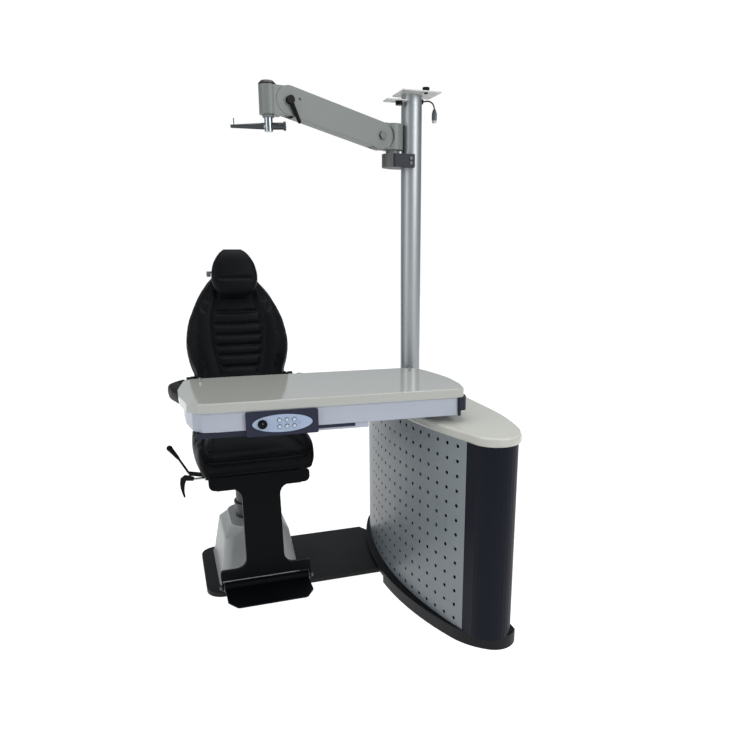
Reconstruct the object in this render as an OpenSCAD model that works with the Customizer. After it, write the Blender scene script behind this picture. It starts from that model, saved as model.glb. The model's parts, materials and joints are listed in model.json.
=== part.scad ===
// Combined ophthalmic examination unit: a lifting patient chair, an instrument table on a pole,
// a leaf-shaped cabinet and a swinging instrument arm, all standing on one steel base plate.
// Lengths are in millimetres. The floor is z = 0, the chair's lift column stands on x = 0, y = 0,
// the patient in the chair faces -Y and the cabinet stands at +X.

/* [Base plate] */
// Distance from the chair column to the left edge of the base plate
plate_left = 204; // [190:1:260]
// Distance from the chair column to the front edge of the base plate
plate_front = 226; // [200:1:280]
// Distance from the chair column to the back edge of the base plate
plate_back = 192; // [190:1:280]
// Radius of the two rounded corners of the base plate
plate_corner_r = 62; // [20:1:100]
// Thickness of the steel base plate
plate_thick = 20; // [12:1:25]
// Thickness of the rubber pads under the base plate
pad_thick = 5; // [3:0.5:8]

/* [Pedestal cover] */
// Width of the pedestal cover at its foot
cover_width = 311; // [290:1:360]
// Depth of the pedestal cover at its foot
cover_depth = 376; // [340:1:380]
// Height of the shoulder of the cover above the base plate
cover_tier = 170; // [140:1:190]
// Height of the top of the cover above the base plate
cover_height = 210; // [190:1:240]
// Wall of the moulded cover
cover_wall = 4; // [2:0.5:6]

/* [Lift column] */
// Outer radius of the fixed column
column_r = 66; // [62.5:0.5:72]
// Radius of the moving tube
lift_r = 62; // [50:0.5:62]
// Height of the top of the fixed column above the floor
column_top = 295; // [260:1:300]
// Height of the underside of the seat frame above the floor
frame_bottom = 440; // [435:1:470]

/* [Seat] */
// Width of the seat cushion
seat_width = 430; // [400:1:440]
// Distance from the column to the front of the seat cushion
seat_front = 293; // [280:1:300]
// Distance from the column to the rear of the seat cushion
seat_rear = 118; // [100:1:125]
// Height of the seat frame rails
rail_height = 58; // [40:1:60]
// Thickness of the seat cushion at its middle
seat_thick = 70; // [60:1:85]
// Extra height of the side bolsters at the rear of the seat
seat_bolster = 50; // [20:1:55]

/* [Backrest] */
// Lean of the backrest from upright, in degrees
back_lean = 8.5; // [5:0.5:15]
// Half width of the backrest at its widest
back_half = 208; // [190:1:210]
// Length of the back cushion along the backrest
back_length = 524; // [480:1:560]
// Thickness of the back cushion at its bolsters
back_thick = 82; // [60:1:90]
// Width of the headrest pad
head_width = 186; // [150:1:190]
// Height of the headrest pad
head_height = 189; // [150:1:190]
// Thickness of the headrest pad
head_thick = 50; // [35:1:60]

/* [Armrests] */
// Length of an armrest from its pivot to its front end
arm_rest_length = 312; // [260:1:320]
// Width of an armrest pad
arm_rest_width = 60; // [45:1:62]
// Thickness of an armrest pad
arm_rest_thick = 52; // [40:1:60]

/* [Calf panel and footrest] */
// Width of the top of the calf panel
calf_width = 354; // [320:1:380]
// Thickness of the calf panel
calf_thick = 18; // [12:1:24]
// Distance from the column to the footrest tube
foot_y = 348; // [340:1:360]
// Height of the footrest tube above the floor
foot_z = 108; // [105:1:120]
// Radius of the footrest tube
foot_tube_r = 17.5; // [14:0.5:19]
// Length of the footrest tube
foot_tube_length = 300; // [260:1:305]
// Distance from the footrest tube to the front edge of the footrest plate
foot_depth = 142; // [110:1:170]

/* [Table] */
// Length of the table top
table_length = 900; // [850:1:960]
// Depth of the table top
table_depth = 412; // [380:1:430]
// Height of the table top above the floor
table_z = 837; // [800:1:880]
// Height of the rim of the table top
rim_height = 29; // [20:1:40]
// Height of the table body below the rim
body_height = 59; // [45:1:62]
// Turn of the table about the pole from square, in degrees
table_turn = 2.7; // [0:0.1:5]

/* [Pole and cabinet] */
// Distance from the chair column to the pole, to the right
pole_x = 596; // [590:1:640]
// Distance from the chair column to the pole, to the front
pole_front = 205; // [190:1:220]
// Outer radius of the pole
pole_r = 36; // [33:0.5:38]
// Height of the top of the pole above the floor
pole_top = 1780; // [1740:1:1900]
// Height of the cabinet's top face above the floor
cabinet_top_z = 724; // [700:1:726]
// Radius of the curved perforated side of the cabinet
side_r = 1550; // [1450:1:1700]
// Radius of the holes in the perforated side
hole_r = 6; // [3:0.25:6]
// Distance between neighbouring holes in the perforated side
hole_pitch = 50; // [44:1:60]
// Number of rows of holes
hole_rows = 13; // [8:1:13]
// Number of columns of holes
hole_columns = 15; // [8:1:18]

/* [Instrument arm] */
// Height of the top of the arm bracket above the floor
bracket_top = 1586; // [1540:1:1640]
// Heading of the arm, in degrees from +X
arm_heading = 191.6; // [180:0.1:200]
// Rise of the arm above level, in degrees
arm_tilt = 13.1; // [5:0.1:20]
// Distance between the two tilt pivots of the arm
arm_link_length = 343; // [300:1:400]
// Half height of the arm
arm_half_height = 43; // [38:1:46]
// Width of the arm
arm_width = 48; // [42:1:60]
// Radius of the spindle that carries the phoropter
spindle_r = 13; // [10:0.5:14]
// Length of the spindle below the arm's head
spindle_drop = 49; // [30:1:70]

/* [Hidden] */
// Radial clearance of a running fit
fit = 0.06;
// Gap between faces that pass each other
gap = 0.3;
// How far a cut runs past the face that it opens
over = 2;
// Facets of an exact circle
fine = 48;

// Plate, column and cover
plate_top = pad_thick + plate_thick;
plate_end = 62;
plate_right = pole_x + plate_end;
pad_r = 24;
pad_inset = 52;
column_flange_r = 86;
column_flange = 10;
collar_wall = 4;
collar_r = column_r + collar_wall;
collar_height = 9;
lift_tube_wall = 6;
lift_overlap = 195;
lift_flange_r = 88;
lift_flange = 12;
cover_foot_r = 36;
cover_neck_r = 58;
cover_tier_width = 250;
cover_tier_depth = 284;
cover_neck_width = 184;
cover_neck_depth = 250;

// Seat
seat_base = frame_bottom + rail_height;
rail_width = 30;
rail_span = 300;
rail_front = 272;
rail_rear = 185;
rail_wall = 3;
seat_plate = 8;
swivel_pin_length = 40;
bracket_x = 196;
bracket_thick = 8;
recline_pin_r = 10;
hinge_y = 165;
hinge_rise = 26;
hinge_z = seat_base + hinge_rise;

// Backrest, in its own frame: x across, y to the rear, z up along the back from the hinge
back_foot = 112;
shell_front = 6;
shell_thick = 18;
shell_rear = shell_front + shell_thick;
shell_inset = 9;
ear_x = 168;
ear_thick = 12;
ear_r = 24;
arm_pivot_t = -35;
arm_pivot_s = 228;
arm_ear_x = 184;
arm_ear_thick = 8;
arm_pin_r = 8;
arm_boss_r = 19;
arm_boss_width = 18;
boss_corner_share = 0.7;
stem_width = 40;
stem_thick = 6;
stem_foot = 430;
stem_rise = 20;
stem_top = back_foot + back_length + stem_rise;
head_foot = 551;
head_front = -112;
clip_height = 19;

// Calf panel and footrest
calf_lean = 8;
calf_top = seat_base;
calf_flange_height = 46;
calf_foot_width = 320;
calf_stem_width = 134;
calf_fillet_r = 36;
foot_pin_r = 7;
foot_pin_length = 334;
foot_plate = 5;
washer_thick = 3;
foot_ear_thick = 6;

// Levers
lever_pin_r = 5;
lever_boss_r = 10;
lever_thick = 9;
recline_lever_y = -182;
brake_lever_y = -150;

// Table, in its own frame: origin on the pole, x to the right, y to the rear
table_right = 56;
table_back = 43;
body_inset = 15;
body_front_inset = 5;
body_wall = 3;
table_corner_r = 20;
tray_height = 18;
hub_wall = 12;
hub_r = pole_r + hub_wall;
hub_plate = 12;
hub_width = 96;
hub_reach = 174;
box_width = 215;
box_height = 74;
box_thick = 10;
box_depth = 12;
box_left = -651;
box_drop = 4;
box_top = table_z - rim_height - box_drop;
box_corner_r = 5;
face_width = 178;
face_height = 54;
face_thick = 2;
button_r = 6.5;
button_pitch = 22;
button_row_share = 0.45;
button_length = 13;
button_proud = 2.5;
button_pocket = 15;
knob_r = 11;
knob_length = 10;
knob_mark_share = 0.8;
knob_shaft_r = 3;
knob_ring_r = 14;
socket_r = 5;
socket_hole_r = 1.8;
bumper_proud = 9;
bumper_height = 44;
bumper_reach = 34;
pin_r = 4;
pin_height = 14;

// Pole and cabinet
pole_wall = 5;
pole_flange_r = 58;
pole_flange = 14;
pole_collar_r = 48;
pole_collar = 12;
plinth_height = 45;
plinth_wall = 4;
sheet = 2;
slab = 30;
slab_overhang = 8;
side_left = 485;
side_mid_y = -258;
nose_x = 657;
nose_y = -790;
nose_r = 76;
outer_r = 1009;
outer_x = 779;
outer_start_y = -519;
plinth_proud = 32;
plinth_side_r = 1233;
post = 24;

// Instrument arm
bracket_height = 44;
swivel_x = 523;
swivel_front = 216;
swivel_pin_r = 10;
swivel_boss_r = 38;
spacer_height = 13;
spacer_r = 24;
arm_base_height = 84;
arm_base_r = 35;
arm_base_length = 54;
tongue_gap = 0.4;
cheek = 4;
tilt_bolt_r = 8;
tilt_head_r = 13.8;
tilt_head = 8;
link_drop = 24;
link_r = 9;
link_thick = 6;
link_pin_r = 4;
tongue_relief = 0.5;
pocket_gap = 0.5;
tongue_r = arm_half_height - tongue_relief;
head_reach = 63;
head_r = 27;
head_up = 40;
head_down = 45;
head_heel = 21;
heel_rise = 1.5;
cap_height = 12;
clamp_shaft_r = 8;
clamp_boss_r = 12.5;
clamp_thick = 15;
clamp_length = 68;
bar_left = 119;
bar_right = 53;
bar_r = 10.5;
bar_tip_r = 5;
bar_heading = -19;
plate_sheet = 4;
knob_top_r = 12;
knob_top_height = 12;

// Cable from the pole to its hanging plug
cord_d = 5;
cord_sides = 8;
cord_points = [[634, -214, 1762], [640, -214.5, 1763.5], [646, -215, 1764.5], [652, -215.5, 1765],
  [658, -216, 1764.5], [663.5, -216.5, 1762.5], [668, -217, 1759.5], [671.5, -217.5, 1755.5],
  [674, -218, 1750.5], [675.5, -218.5, 1745], [676, -219, 1739]];
plug_r = 9;
plug_length = 44;
gland_r = 8;
cover_flare = 12;
cover_badge_r = 14;
cover_badge_depth = 6;
foot_wide = 96;
side_span = 19.4;
plinth_span = 23;
plinth_turn_r = 232.7;
plinth_turn = 237.5;
turn_step = 5;
plinth_lip = 30;
post_plate = 4;
post_inset = 46;
hole_margin = 40;
bracket_step = 4;
bracket_back = 10;
screw_r = 5;
screw_head = 4;
screw_inset = 15;
screw_half_pitch = 8;
top_plate_x = 606;
top_plate_front = 228;
top_plate_width = 138;
top_plate_depth = 118;
plate_corner = 4;
low_plate_x = 530;
low_plate_front = 224;
low_plate_width = 72;
low_plate_depth = 50;
low_plate_drop = 20;
knob_top_x = 623;
knob_top_front = 271;
knob_low_x = 542;
knob_low_front = 227;
nut_r = 6;
nut_height = 4;
nut_gap = 0.3;
plug_neck = 14;
plug_wall = 2;
plug_nose = 8;
arm_open = 7;
peep_x = 32;
peep_z = 13;
peep_r = 4.5;
link_half = 7;
neck_r = 18;
neck_height = 8;
spindle_head_r = 17.5;
spindle_head = 8;
cap_rim = 4;
cap_share = 0.7;
clamp_bar_r = 7.2;
clamp_angle = 24;
clamp_taper_share = 0.8;
bar_lift = 16;
bar_flange = 6;
bar_pin_r = 1.5;
bar_pin_height = 24;
// Half width of the back cushion along its length
back_width_shares = [[0, 0.8], [0.03, 0.84], [0.1, 0.86], [0.286, 0.87], [0.34, 0.94], [0.42, 0.985],
  [0.483, 1], [0.58, 0.975], [0.676, 0.918], [0.77, 0.82], [0.853, 0.71], [0.92, 0.6], [0.98, 0.47],
  [1, 0.42]];
// Thickness of the back cushion along its length
back_thick_shares = [[0, 0.5], [0.02, 0.8], [0.06, 0.95], [0.15, 1], [0.7, 1], [0.8, 0.86], [0.85, 0.75],
  [0.95, 0.7], [0.985, 0.6], [1, 0.42]];
// Half width of the ribbed panel along the back cushion, as a share of the half width
panel_shares = [[0, 0.36], [0.29, 0.385], [0.72, 0.5], [0.8, 0.48], [1, 0.5]];
// Outline of one row: share of the half width, share of the panel's, share of the thickness
back_side_shares = [[1, 0, 0.45], [0.99, 0, 0.7], [0.95, 0, 0.88], [0.76, 0.2, 0.97], [0.475, 0.5, 1],
  [0.1425, 0.85, 0.96]];
back_panel_shares = [[1, 1, 0], [0.93, 0, 1], [0.5, -0.2, 1], [0.15, -0.4, 1]];
rear_share = 0.95;
foot_row_shares = [0, 0.02, 0.06, 0.13, 0.21, 0.27];
top_row_shares = [0.8, 0.85, 0.9, 0.95, 0.98, 1];
// Sewn channels across the back cushion
channel_shares = [0.319, 0.406, 0.481, 0.559, 0.639, 0.735];
channel_half_share = 0.013;
channel_depth = 8;
panel_sink = 8;
seam_depth = 5;
// Half width and thickness of the headrest pad along its height
head_width_shares = [[0, 0.46], [0.03, 0.62], [0.1, 0.79], [0.2, 0.91], [0.3, 0.975], [0.39, 1], [0.56, 0.97],
  [0.7, 0.885], [0.83, 0.745], [0.93, 0.585], [1, 0.4]];
head_thick_shares = [[0, 0.35], [0.03, 0.6], [0.1, 0.85], [0.2, 0.96], [0.36, 1], [0.384, 0.86], [0.41, 1],
  [0.7, 0.98], [0.85, 0.86], [0.95, 0.66], [1, 0.35]];
head_side_shares = [[1, 0.4], [0.97, 0.68], [0.88, 0.88], [0.65, 0.97], [0.25, 1]];
head_row_shares = [0, 0.03, 0.08, 0.15, 0.25, 0.36, 0.384, 0.41, 0.5, 0.6, 0.7, 0.8, 0.88, 0.95, 1];
// Seat cushion from front to rear
seat_row_shares = [0, 0.02, 0.06, 0.12, 0.2, 0.3, 0.4, 0.5, 0.6, 0.7, 0.8, 0.88, 0.94, 0.98, 1];
seat_width_shares = [[0, 0.86], [0.02, 0.92], [0.06, 0.955], [0.12, 0.975], [0.3, 0.995], [0.5, 1],
  [0.85, 0.995], [0.94, 0.975], [1, 0.92]];
seat_height_shares = [[0, 0.5], [0.02, 0.7], [0.06, 0.86], [0.12, 0.95], [0.25, 1], [0.85, 0.98], [0.94, 0.9],
  [0.98, 0.76], [1, 0.55]];
seat_bolster_shares = [[0, 0.2], [0.04, 0.4], [0.12, 0.6], [0.5, 0.82], [0.85, 1], [0.94, 0.95], [1, 0.5]];
seat_side_shares = [[0.93, 0, 0, 0], [0.985, 0, 0.16, 0], [1, 0, 0.45, 0], [0.985, 0, 0.76, 0],
  [0.95, 0, 0.93, 0], [0.7125, 0.25, 1, 0], [0.4275, 0.55, 0.985, 0], [0.1425, 0.85, 0.5, 0.5]];
seat_top_shares = [[1, 1], [0.92, 0.2], [0.6, -0.2], [0.25, -0.4]];
seat_seam_shares = [[0, 0.86], [0.15, 0.8], [0.5, 0.68], [1, 0.6]];
// Armrest pad from its pivot forwards
pad_row_shares = [1, 0.985, 0.94, 0.84, 0.72, 0.6, 0.475, 0.37, 0.29, 0.21, 0.14, 0.1, 0.085];
pad_outer_shares = [[0.085, 0.18], [0.1, 0.24], [0.21, 0.6], [0.37, 1.167], [0.475, 1.45], [0.6, 1.38],
  [0.72, 1.267], [0.94, 0.933], [0.985, 0.833], [1, 0.667]];
pad_inner_shares = [[0.085, 0.04], [0.1, 0.04], [0.21, 0.23], [0.37, 0.367], [0.475, 0.45], [0.6, 0.36],
  [0.72, 0.233], [0.94, -0.05], [0.985, 0.05], [1, 0.217]];
pad_thick_shares = [[0.085, 0.6], [0.1, 0.75], [0.21, 0.95], [0.5, 1], [0.94, 0.94], [0.985, 0.76], [1, 0.5]];
pad_side_shares = [[0.9, 0], [1, 0.25], [1, 0.6], [0.92, 0.85], [0.7, 0.96], [0.3, 1]];
pad_x = 200;
pad_drop = 22;
arm_bar = 6;
arm_bar_width = 15;
// Paths of the two levers from their pivots
recline_path_shares = [[0, 0], [-0.478, 0.106], [-0.761, 0.63], [-1, 0.985]];
brake_path_shares = [[-0.54, 0.01], [-0.72, 0.06], [-0.86, 0.09], [-0.95, 0.02], [-0.99, -0.14],
  [-1, -0.32], [-0.985, -0.5], [-0.944, -0.722]];
brake_width_shares = [0.6, 0.85, 1, 1, 0.85, 0.65, 0.45, 0.28];
hook_half = 10.5;
recline_reach = 113;
brake_reach = 90;
recline_pivot_out = 32;
recline_pivot_x = -(rail_span / 2 + recline_pivot_out);
recline_pivot_drop = 20;
brake_pivot_out = 22;
brake_pivot_x = -(rail_span / 2 + brake_pivot_out);
brake_pivot_drop = 42;
lever_rod_r = 4;
lever_pad_r = 8;
lever_neck_share = 1.4;
knob_end_share = 0.93;
lever_knob_r = 10.5;
lever_bar = 14;
lug_thick = 6;
lug_height = 24;
// Side brackets, drawn as shares of their depth and height
bracket_depth = 60;
bracket_rise = 106;
bracket_shares = [[1, 0], [1, 0.8], [0.8, 1], [0.2, 1], [0, 0.8], [0, 0]];
// Calf panel and footrest outlines
calf_corner = 10;
calf_flange_corner = 20;
calf_foot_gap = 4;
foot_half = 148;
foot_tip_share = 0.8;
foot_chamfer_share = 0.68;
foot_corner = 16;
foot_bush = 24;
foot_tube_wall = 3;
foot_ear_r = 13;
foot_neck_share = 0.75;
foot_ear_inset = 2;
foot_web_inset = 0.6;
foot_washer_r = 15;
// Table outline, in shares of its length from the right end and of its depth from the back
table_shares = [[0.018, 0.988], [0.002, 0.813], [0, 0.575], [0.012, 0.403], [0.028, 0.245], [0.041, 0.133],
  [0.071, 0.05], [0.121, 0.002], [0.771, 0], [0.949, 0.015], [0.98, 0.06], [0.998, 0.415], [0.99, 0.677],
  [0.968, 0.9], [0.94, 0.985], [0.89, 1], [0.045, 1]];
table_chamfer = 2;
tray_left = 792;
tray_right = 276;
tray_back = 160;
tray_wall = 2;
strip_left = 748;
strip_right = 320;
strip_height = 10;
strip_thick = 3.8;
pin_shares = [[0.919, 0.155], [0.103, 0.172]];
knob_offset = -59.5;
button_offset = -9.5;
socket_offset = 51.5;
housing_inset = 8;
bumper_drop = 19;
bumper_low_inset = 7;
tray_inset = 4;
clip_reach = 88;
clip_thick = 15;
clip_width = 24;

// An outline with its corners rounded: points, and one radius or a list of them
function rounded(pts, r, n = 5) =
  [for (i = [0:len(pts) - 1])
    let (p = pts[i],
         a = pts[(i + len(pts) - 1) % len(pts)],
         b = pts[(i + 1) % len(pts)],
         u = (a - p) / norm(a - p),
         v = (b - p) / norm(b - p),
         w = acos(max(-1, min(1, u * v))),
         d = min((is_list(r) ? r[i] : r) / tan(w / 2), norm(a - p) / 2.05, norm(b - p) / 2.05),
         q = d * tan(w / 2),
         c = p + (u + v) / norm(u + v) * q / sin(w / 2),
         s = p + u * d - c,
         e = p + v * d - c,
         a0 = atan2(s[1], s[0]),
         turn = (atan2(e[1], e[0]) - a0 + 540) % 360 - 180)
    each (w > 176 || d <= 0 ? [p]
      : [for (k = [0:n]) c + q * [cos(a0 + turn * k / n), sin(a0 + turn * k / n)]])];

// A rectangle centred on the origin, as an outline
function box_outline(w, d) = [[w / 2, d / 2], [-w / 2, d / 2], [-w / 2, -d / 2], [w / 2, -d / 2]];

// Points of an arc about a centre
function arc(c, r, a0, a1, n) =
  [for (k = [0:n]) c + r * [cos(a0 + (a1 - a0) * k / n), sin(a0 + (a1 - a0) * k / n)]];

// A closed skin through rings that all have the same number of points
function skin(n, m) = concat(
  [[for (j = [0:m - 1]) j]],
  [for (i = [0:n - 2], j = [0:m - 1]) each
    [[i * m + j, (i + 1) * m + (j + 1) % m, i * m + (j + 1) % m],
     [i * m + j, (i + 1) * m + j, (i + 1) * m + (j + 1) % m]]],
  [[for (j = [m - 1:-1:0]) (n - 1) * m + j]]);

module loft(rings) {
  polyhedron(points = [for (ring = rings) each ring], faces = skin(len(rings), len(rings[0])));
}

// A ring of a rounded rectangle at a height
function ring_at(w, d, r, z) = [for (p = rounded(box_outline(w, d), r)) [p[0], p[1], z]];

// A bore along Z through a piece from z0 to z1
module bore(r, z0, z1) {
  translate([0, 0, z0 - over]) cylinder(r = r, h = z1 - z0 + 2 * over, $fn = fine);
}

// A round bar between two heights
module rod(r, z0, z1) {
  translate([0, 0, z0]) cylinder(r = r, h = z1 - z0, $fn = fine);
}

// A round bar along X, centred
module rod_x(r, length) {
  rotate([0, 90, 0]) cylinder(r = r, h = length, center = true, $fn = fine);
}

// A round bar along Y from y0 to y1
module rod_y(r, y0, y1) {
  translate([0, y1, 0]) rotate([90, 0, 0]) cylinder(r = r, h = y1 - y0, $fn = fine);
}

// A block given by its two corners
module block(lo, hi) {
  translate(lo) cube(hi - lo);
}

// An outline drawn in (y, z), run along X from x0 to x1
module run_x(x0, x1) {
  translate([x0, 0, 0]) rotate([90, 0, 90]) linear_extrude(x1 - x0) children();
}

// An outline drawn in (x, z), run along Y from y0 to y1
module run_y(y0, y1) {
  translate([0, y1, 0]) rotate([90, 0, 0]) linear_extrude(y1 - y0) children();
}

module at_pole() {
  translate([pole_x, -pole_front, 0]) children();
}

module at_back() {
  translate([0, hinge_y, hinge_z]) rotate([-back_lean, 0, 0]) children();
}

module at_table() {
  at_pole() rotate([0, 0, -table_turn]) children();
}

module at_swivel() {
  translate([swivel_x, -swivel_front, 0]) rotate([0, 0, arm_heading]) children();
}

// --- Base plate and chair column ---
// Steel plate under the chair that runs on beneath the cabinet and widens around the pole
module base_plate() {
  color("dimgray")
  translate([0, 0, pad_thick])
  linear_extrude(plate_thick)
  polygon(concat(
    arc([-plate_left + plate_corner_r, plate_back - plate_corner_r], plate_corner_r, 90, 180, 8),
    arc([-plate_left + plate_corner_r, -plate_front + plate_corner_r], plate_corner_r, 180, 270, 8),
    [[pole_x - foot_wide, -plate_front],
     [pole_x - foot_wide, -pole_front - foot_wide],
     [plate_right, -pole_front - foot_wide],
     [plate_right, -pole_front + foot_wide],
     [pole_x - foot_wide, plate_back]]));
}

// Rubber pads that the plate stands on
module base_pads() {
  color("black")
  for (at = [[0, 0],
             [-plate_left + pad_inset, -plate_front + pad_inset],
             [-plate_left + pad_inset, plate_back - pad_inset],
             [pole_x / 2, -plate_front + pad_inset],
             [pole_x / 2, plate_back - pad_inset],
             [pole_x, -pole_front - pad_inset],
             [pole_x, -pole_front + pad_inset]])
    translate(at)
    rod(pad_r, 0, pad_thick);
}

// Heights and sizes of the cover's rings, drawn in by a wall for the inside
function cover_ring(w, d, r, z, wall) = ring_at(w - 2 * wall, d - 2 * wall, r - wall, plate_top + z);

function cover_rings(wall) = [
  cover_ring(cover_width, cover_depth, cover_foot_r, wall > 0 ? -over : 0, wall),
  cover_ring(cover_width - cover_flare, cover_depth - cover_flare, cover_foot_r, cover_flare, wall),
  cover_ring(cover_tier_width, cover_tier_depth, cover_foot_r, cover_tier - wall, wall),
  cover_ring(cover_tier_width - cover_flare, cover_tier_depth - cover_flare, cover_foot_r,
    cover_tier + cover_flare / 2 - wall, wall),
  cover_ring(cover_neck_width + cover_flare, cover_neck_depth + cover_flare, cover_neck_r,
    cover_height - cover_flare - wall, wall),
  cover_ring(cover_neck_width, cover_neck_depth, cover_neck_r, cover_height - wall, wall)];

// Moulded bell over the foot of the column
module pedestal_cover() {
  color("gainsboro")
  difference() {
    loft(cover_rings(0));
    loft(cover_rings(cover_wall));
    bore(column_r + fit, plate_top, plate_top + cover_height);
    translate([0, -cover_tier_depth / 2, plate_top + cover_tier + cover_flare])
      rotate([90, 0, 0])
      cylinder(r = cover_badge_r, h = cover_badge_depth, center = true, $fn = fine);
  }
}

// Fixed column with its foot flange and the wiper collar at its mouth
module lift_column() {
  color("darkolivegreen")
  difference() {
    union() {
      rod(column_r, plate_top, column_top);
      rod(column_flange_r, plate_top, plate_top + column_flange);
      rod(collar_r, column_top - collar_height, column_top);
    }
    bore(lift_r + fit, plate_top, column_top);
  }
}

// --- Cabinet ---
// The cabinet's leaf outline: left arc, near nose, right side and far nose
function cabinet_leaf(off) = concat(
  arc([side_left + side_r, side_mid_y], side_r + off, 180 - side_span, 180 + side_span, 24),
  arc([nose_x, nose_y], nose_r + off, 190, 325, 12),
  arc([outer_x - outer_r, outer_start_y], outer_r + off, -15, 0, 6),
  arc([outer_x - outer_r, 2 * side_mid_y - outer_start_y], outer_r + off, 0, 15, 6),
  arc([nose_x, 2 * side_mid_y - nose_y], nose_r + off, 35, 170, 12));

// Near half of the foot's outline: long side, a wider turn, nose and right side, each a tangent arc
function on_arc(centre, r, angle) = centre + r * [cos(angle), sin(angle)];
plinth_centre = [side_left - plinth_proud + plinth_side_r, side_mid_y];
turn_centre = on_arc(plinth_centre, plinth_side_r - plinth_turn_r, 180 + plinth_span);
plinth_nose = on_arc(turn_centre, plinth_turn_r - nose_r, plinth_turn);

function plinth_half(off) = concat(
  arc(plinth_centre, plinth_side_r + off, 180, 180 + plinth_span, 12),
  arc(turn_centre, plinth_turn_r + off, 180 + plinth_span + turn_step, plinth_turn, 5),
  arc(plinth_nose, nose_r + off, plinth_turn + turn_step, 325, 8),
  arc([outer_x - outer_r, outer_start_y], outer_r + off, -15, 0, 6));

function plinth_leaf(off) =
  let (near = plinth_half(off))
  concat(near, [for (i = [len(near) - 1:-1:1]) [near[i][0], 2 * side_mid_y - near[i][1]]]);

// Recessed foot of the cabinet, let over the base plate
module cabinet_plinth() {
  color("dimgray")
  difference() {
    linear_extrude(plinth_height) polygon(plinth_leaf(0));
    translate([0, 0, -over])
      linear_extrude(plinth_height - plinth_wall + over)
      polygon(plinth_leaf(-plinth_wall));
    translate([0, 0, -over]) linear_extrude(plinth_height + 2 * over) polygon(cabinet_leaf(-plinth_lip));
    block([0, -plate_front - gap, -over], [pole_x - foot_wide, plate_back + gap, plate_top + gap]);
    block([0, -pole_front - foot_wide - gap, -over], [plate_right + gap, plate_back + gap, plate_top + gap]);
  }
}

// Floor, ceiling and posts inside the cabinet
module cabinet_frame() {
  color("gray")
  difference() {
    union() {
      translate([0, 0, plinth_height]) linear_extrude(post_plate) polygon(cabinet_leaf(-sheet));
      translate([0, 0, cabinet_top_z - slab - post_plate])
        linear_extrude(post_plate)
        polygon(cabinet_leaf(-sheet));
      for (at = [[side_left + post_inset, side_mid_y],
                 [nose_x, nose_y],
                 [outer_x - post_inset, side_mid_y],
                 [nose_x, 2 * side_mid_y - nose_y]])
        translate([at[0] - post / 2, at[1] - post / 2, plinth_height + post_plate])
          cube([post, post, cabinet_top_z - slab - plinth_height - 2 * post_plate]);
    }
    at_pole() bore(pole_r + fit, 0, cabinet_top_z);
  }
}

// A curved sheet between two matching lists of outline points
module sheet_wall(outside, inside) {
  translate([0, 0, plinth_height])
  linear_extrude(cabinet_top_z - slab - plinth_height)
  polygon(concat(outside, [for (i = [len(inside) - 1:-1:0]) inside[i]]));
}

// Curved side with its rows of round holes
module perforated_panel() {
  centre = [side_left + side_r, side_mid_y];
  step = hole_pitch / side_r * 180 / PI;
  first = side_span - hole_margin / side_r * 180 / PI;
  color("darkgray")
  difference() {
    sheet_wall(arc(centre, side_r, 180 - side_span, 180 + side_span, 24),
      arc(centre, side_r - sheet, 180 - side_span, 180 + side_span, 24));
    for (column = [0:hole_columns - 1], row = [0:hole_rows - 1])
      translate([centre[0], centre[1], plinth_height + hole_pitch / 2 + row * hole_pitch])
      rotate([0, 0, 180 + first - column * step])
      translate([side_r - sheet - over, 0, 0])
      rotate([0, 90, 0])
      cylinder(r = hole_r, h = sheet + 2 * over, $fn = 16);
  }
}

function nose_run(off) = concat(
  [[side_left + side_r, side_mid_y] + (side_r + off) * [cos(180 + side_span), sin(180 + side_span)]],
  arc([nose_x, nose_y], nose_r + off, 190, 325, 12));

function outer_run(off) = concat(
  arc([nose_x, nose_y], nose_r + off, 325, 325.01, 1),
  arc([outer_x - outer_r, outer_start_y], outer_r + off, -15, 0, 6),
  arc([outer_x - outer_r, 2 * side_mid_y - outer_start_y], outer_r + off, 0, 15, 6),
  arc([nose_x, 2 * side_mid_y - nose_y], nose_r + off, 35, 170, 12),
  [[side_left + side_r, side_mid_y] + (side_r + off) * [cos(180 - side_span), sin(180 - side_span)]]);

// Dark rounded front end of the cabinet
module nose_panel() {
  color("midnightblue")
  sheet_wall(nose_run(0), nose_run(-sheet));
}

// Plain side towards the examiner, with the far end
module outer_panel() {
  color("darkgray")
  sheet_wall(outer_run(0), outer_run(-sheet));
}

// Top slab with the hole for the pole
module cabinet_top() {
  color("tan")
  difference() {
    translate([0, 0, cabinet_top_z - slab]) linear_extrude(slab) polygon(cabinet_leaf(slab_overhang));
    at_pole() bore(pole_r + fit, cabinet_top_z - slab, cabinet_top_z);
  }
}

// --- Pole ---
// Tube with its foot flange and the collar that carries the table
module pole() {
  color("silver")
  at_pole()
  difference() {
    union() {
      rod(pole_r, plate_top, pole_top);
      rod(pole_flange_r, plate_top, plate_top + pole_flange);
      rod(pole_collar_r, cabinet_top_z, cabinet_top_z + pole_collar);
    }
    bore(pole_r - pole_wall, plate_top, pole_top);
  }
}

// Saddle block that carries the arm's swivel
module arm_bracket() {
  color("midnightblue")
  difference() {
    union() {
      translate([swivel_x, -swivel_front, 0])
        rod(swivel_boss_r, bracket_top - bracket_height, bracket_top);
      block([swivel_x, -swivel_front - swivel_boss_r, bracket_top - bracket_height],
        [pole_x - bracket_step, -swivel_front + swivel_boss_r + bracket_back, bracket_top]);
    }
    at_pole() bore(pole_r, bracket_top - bracket_height, bracket_top);
    translate([swivel_x, -swivel_front, 0])
      bore(swivel_pin_r + fit, bracket_top - swivel_pin_length, bracket_top);
  }
}

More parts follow.
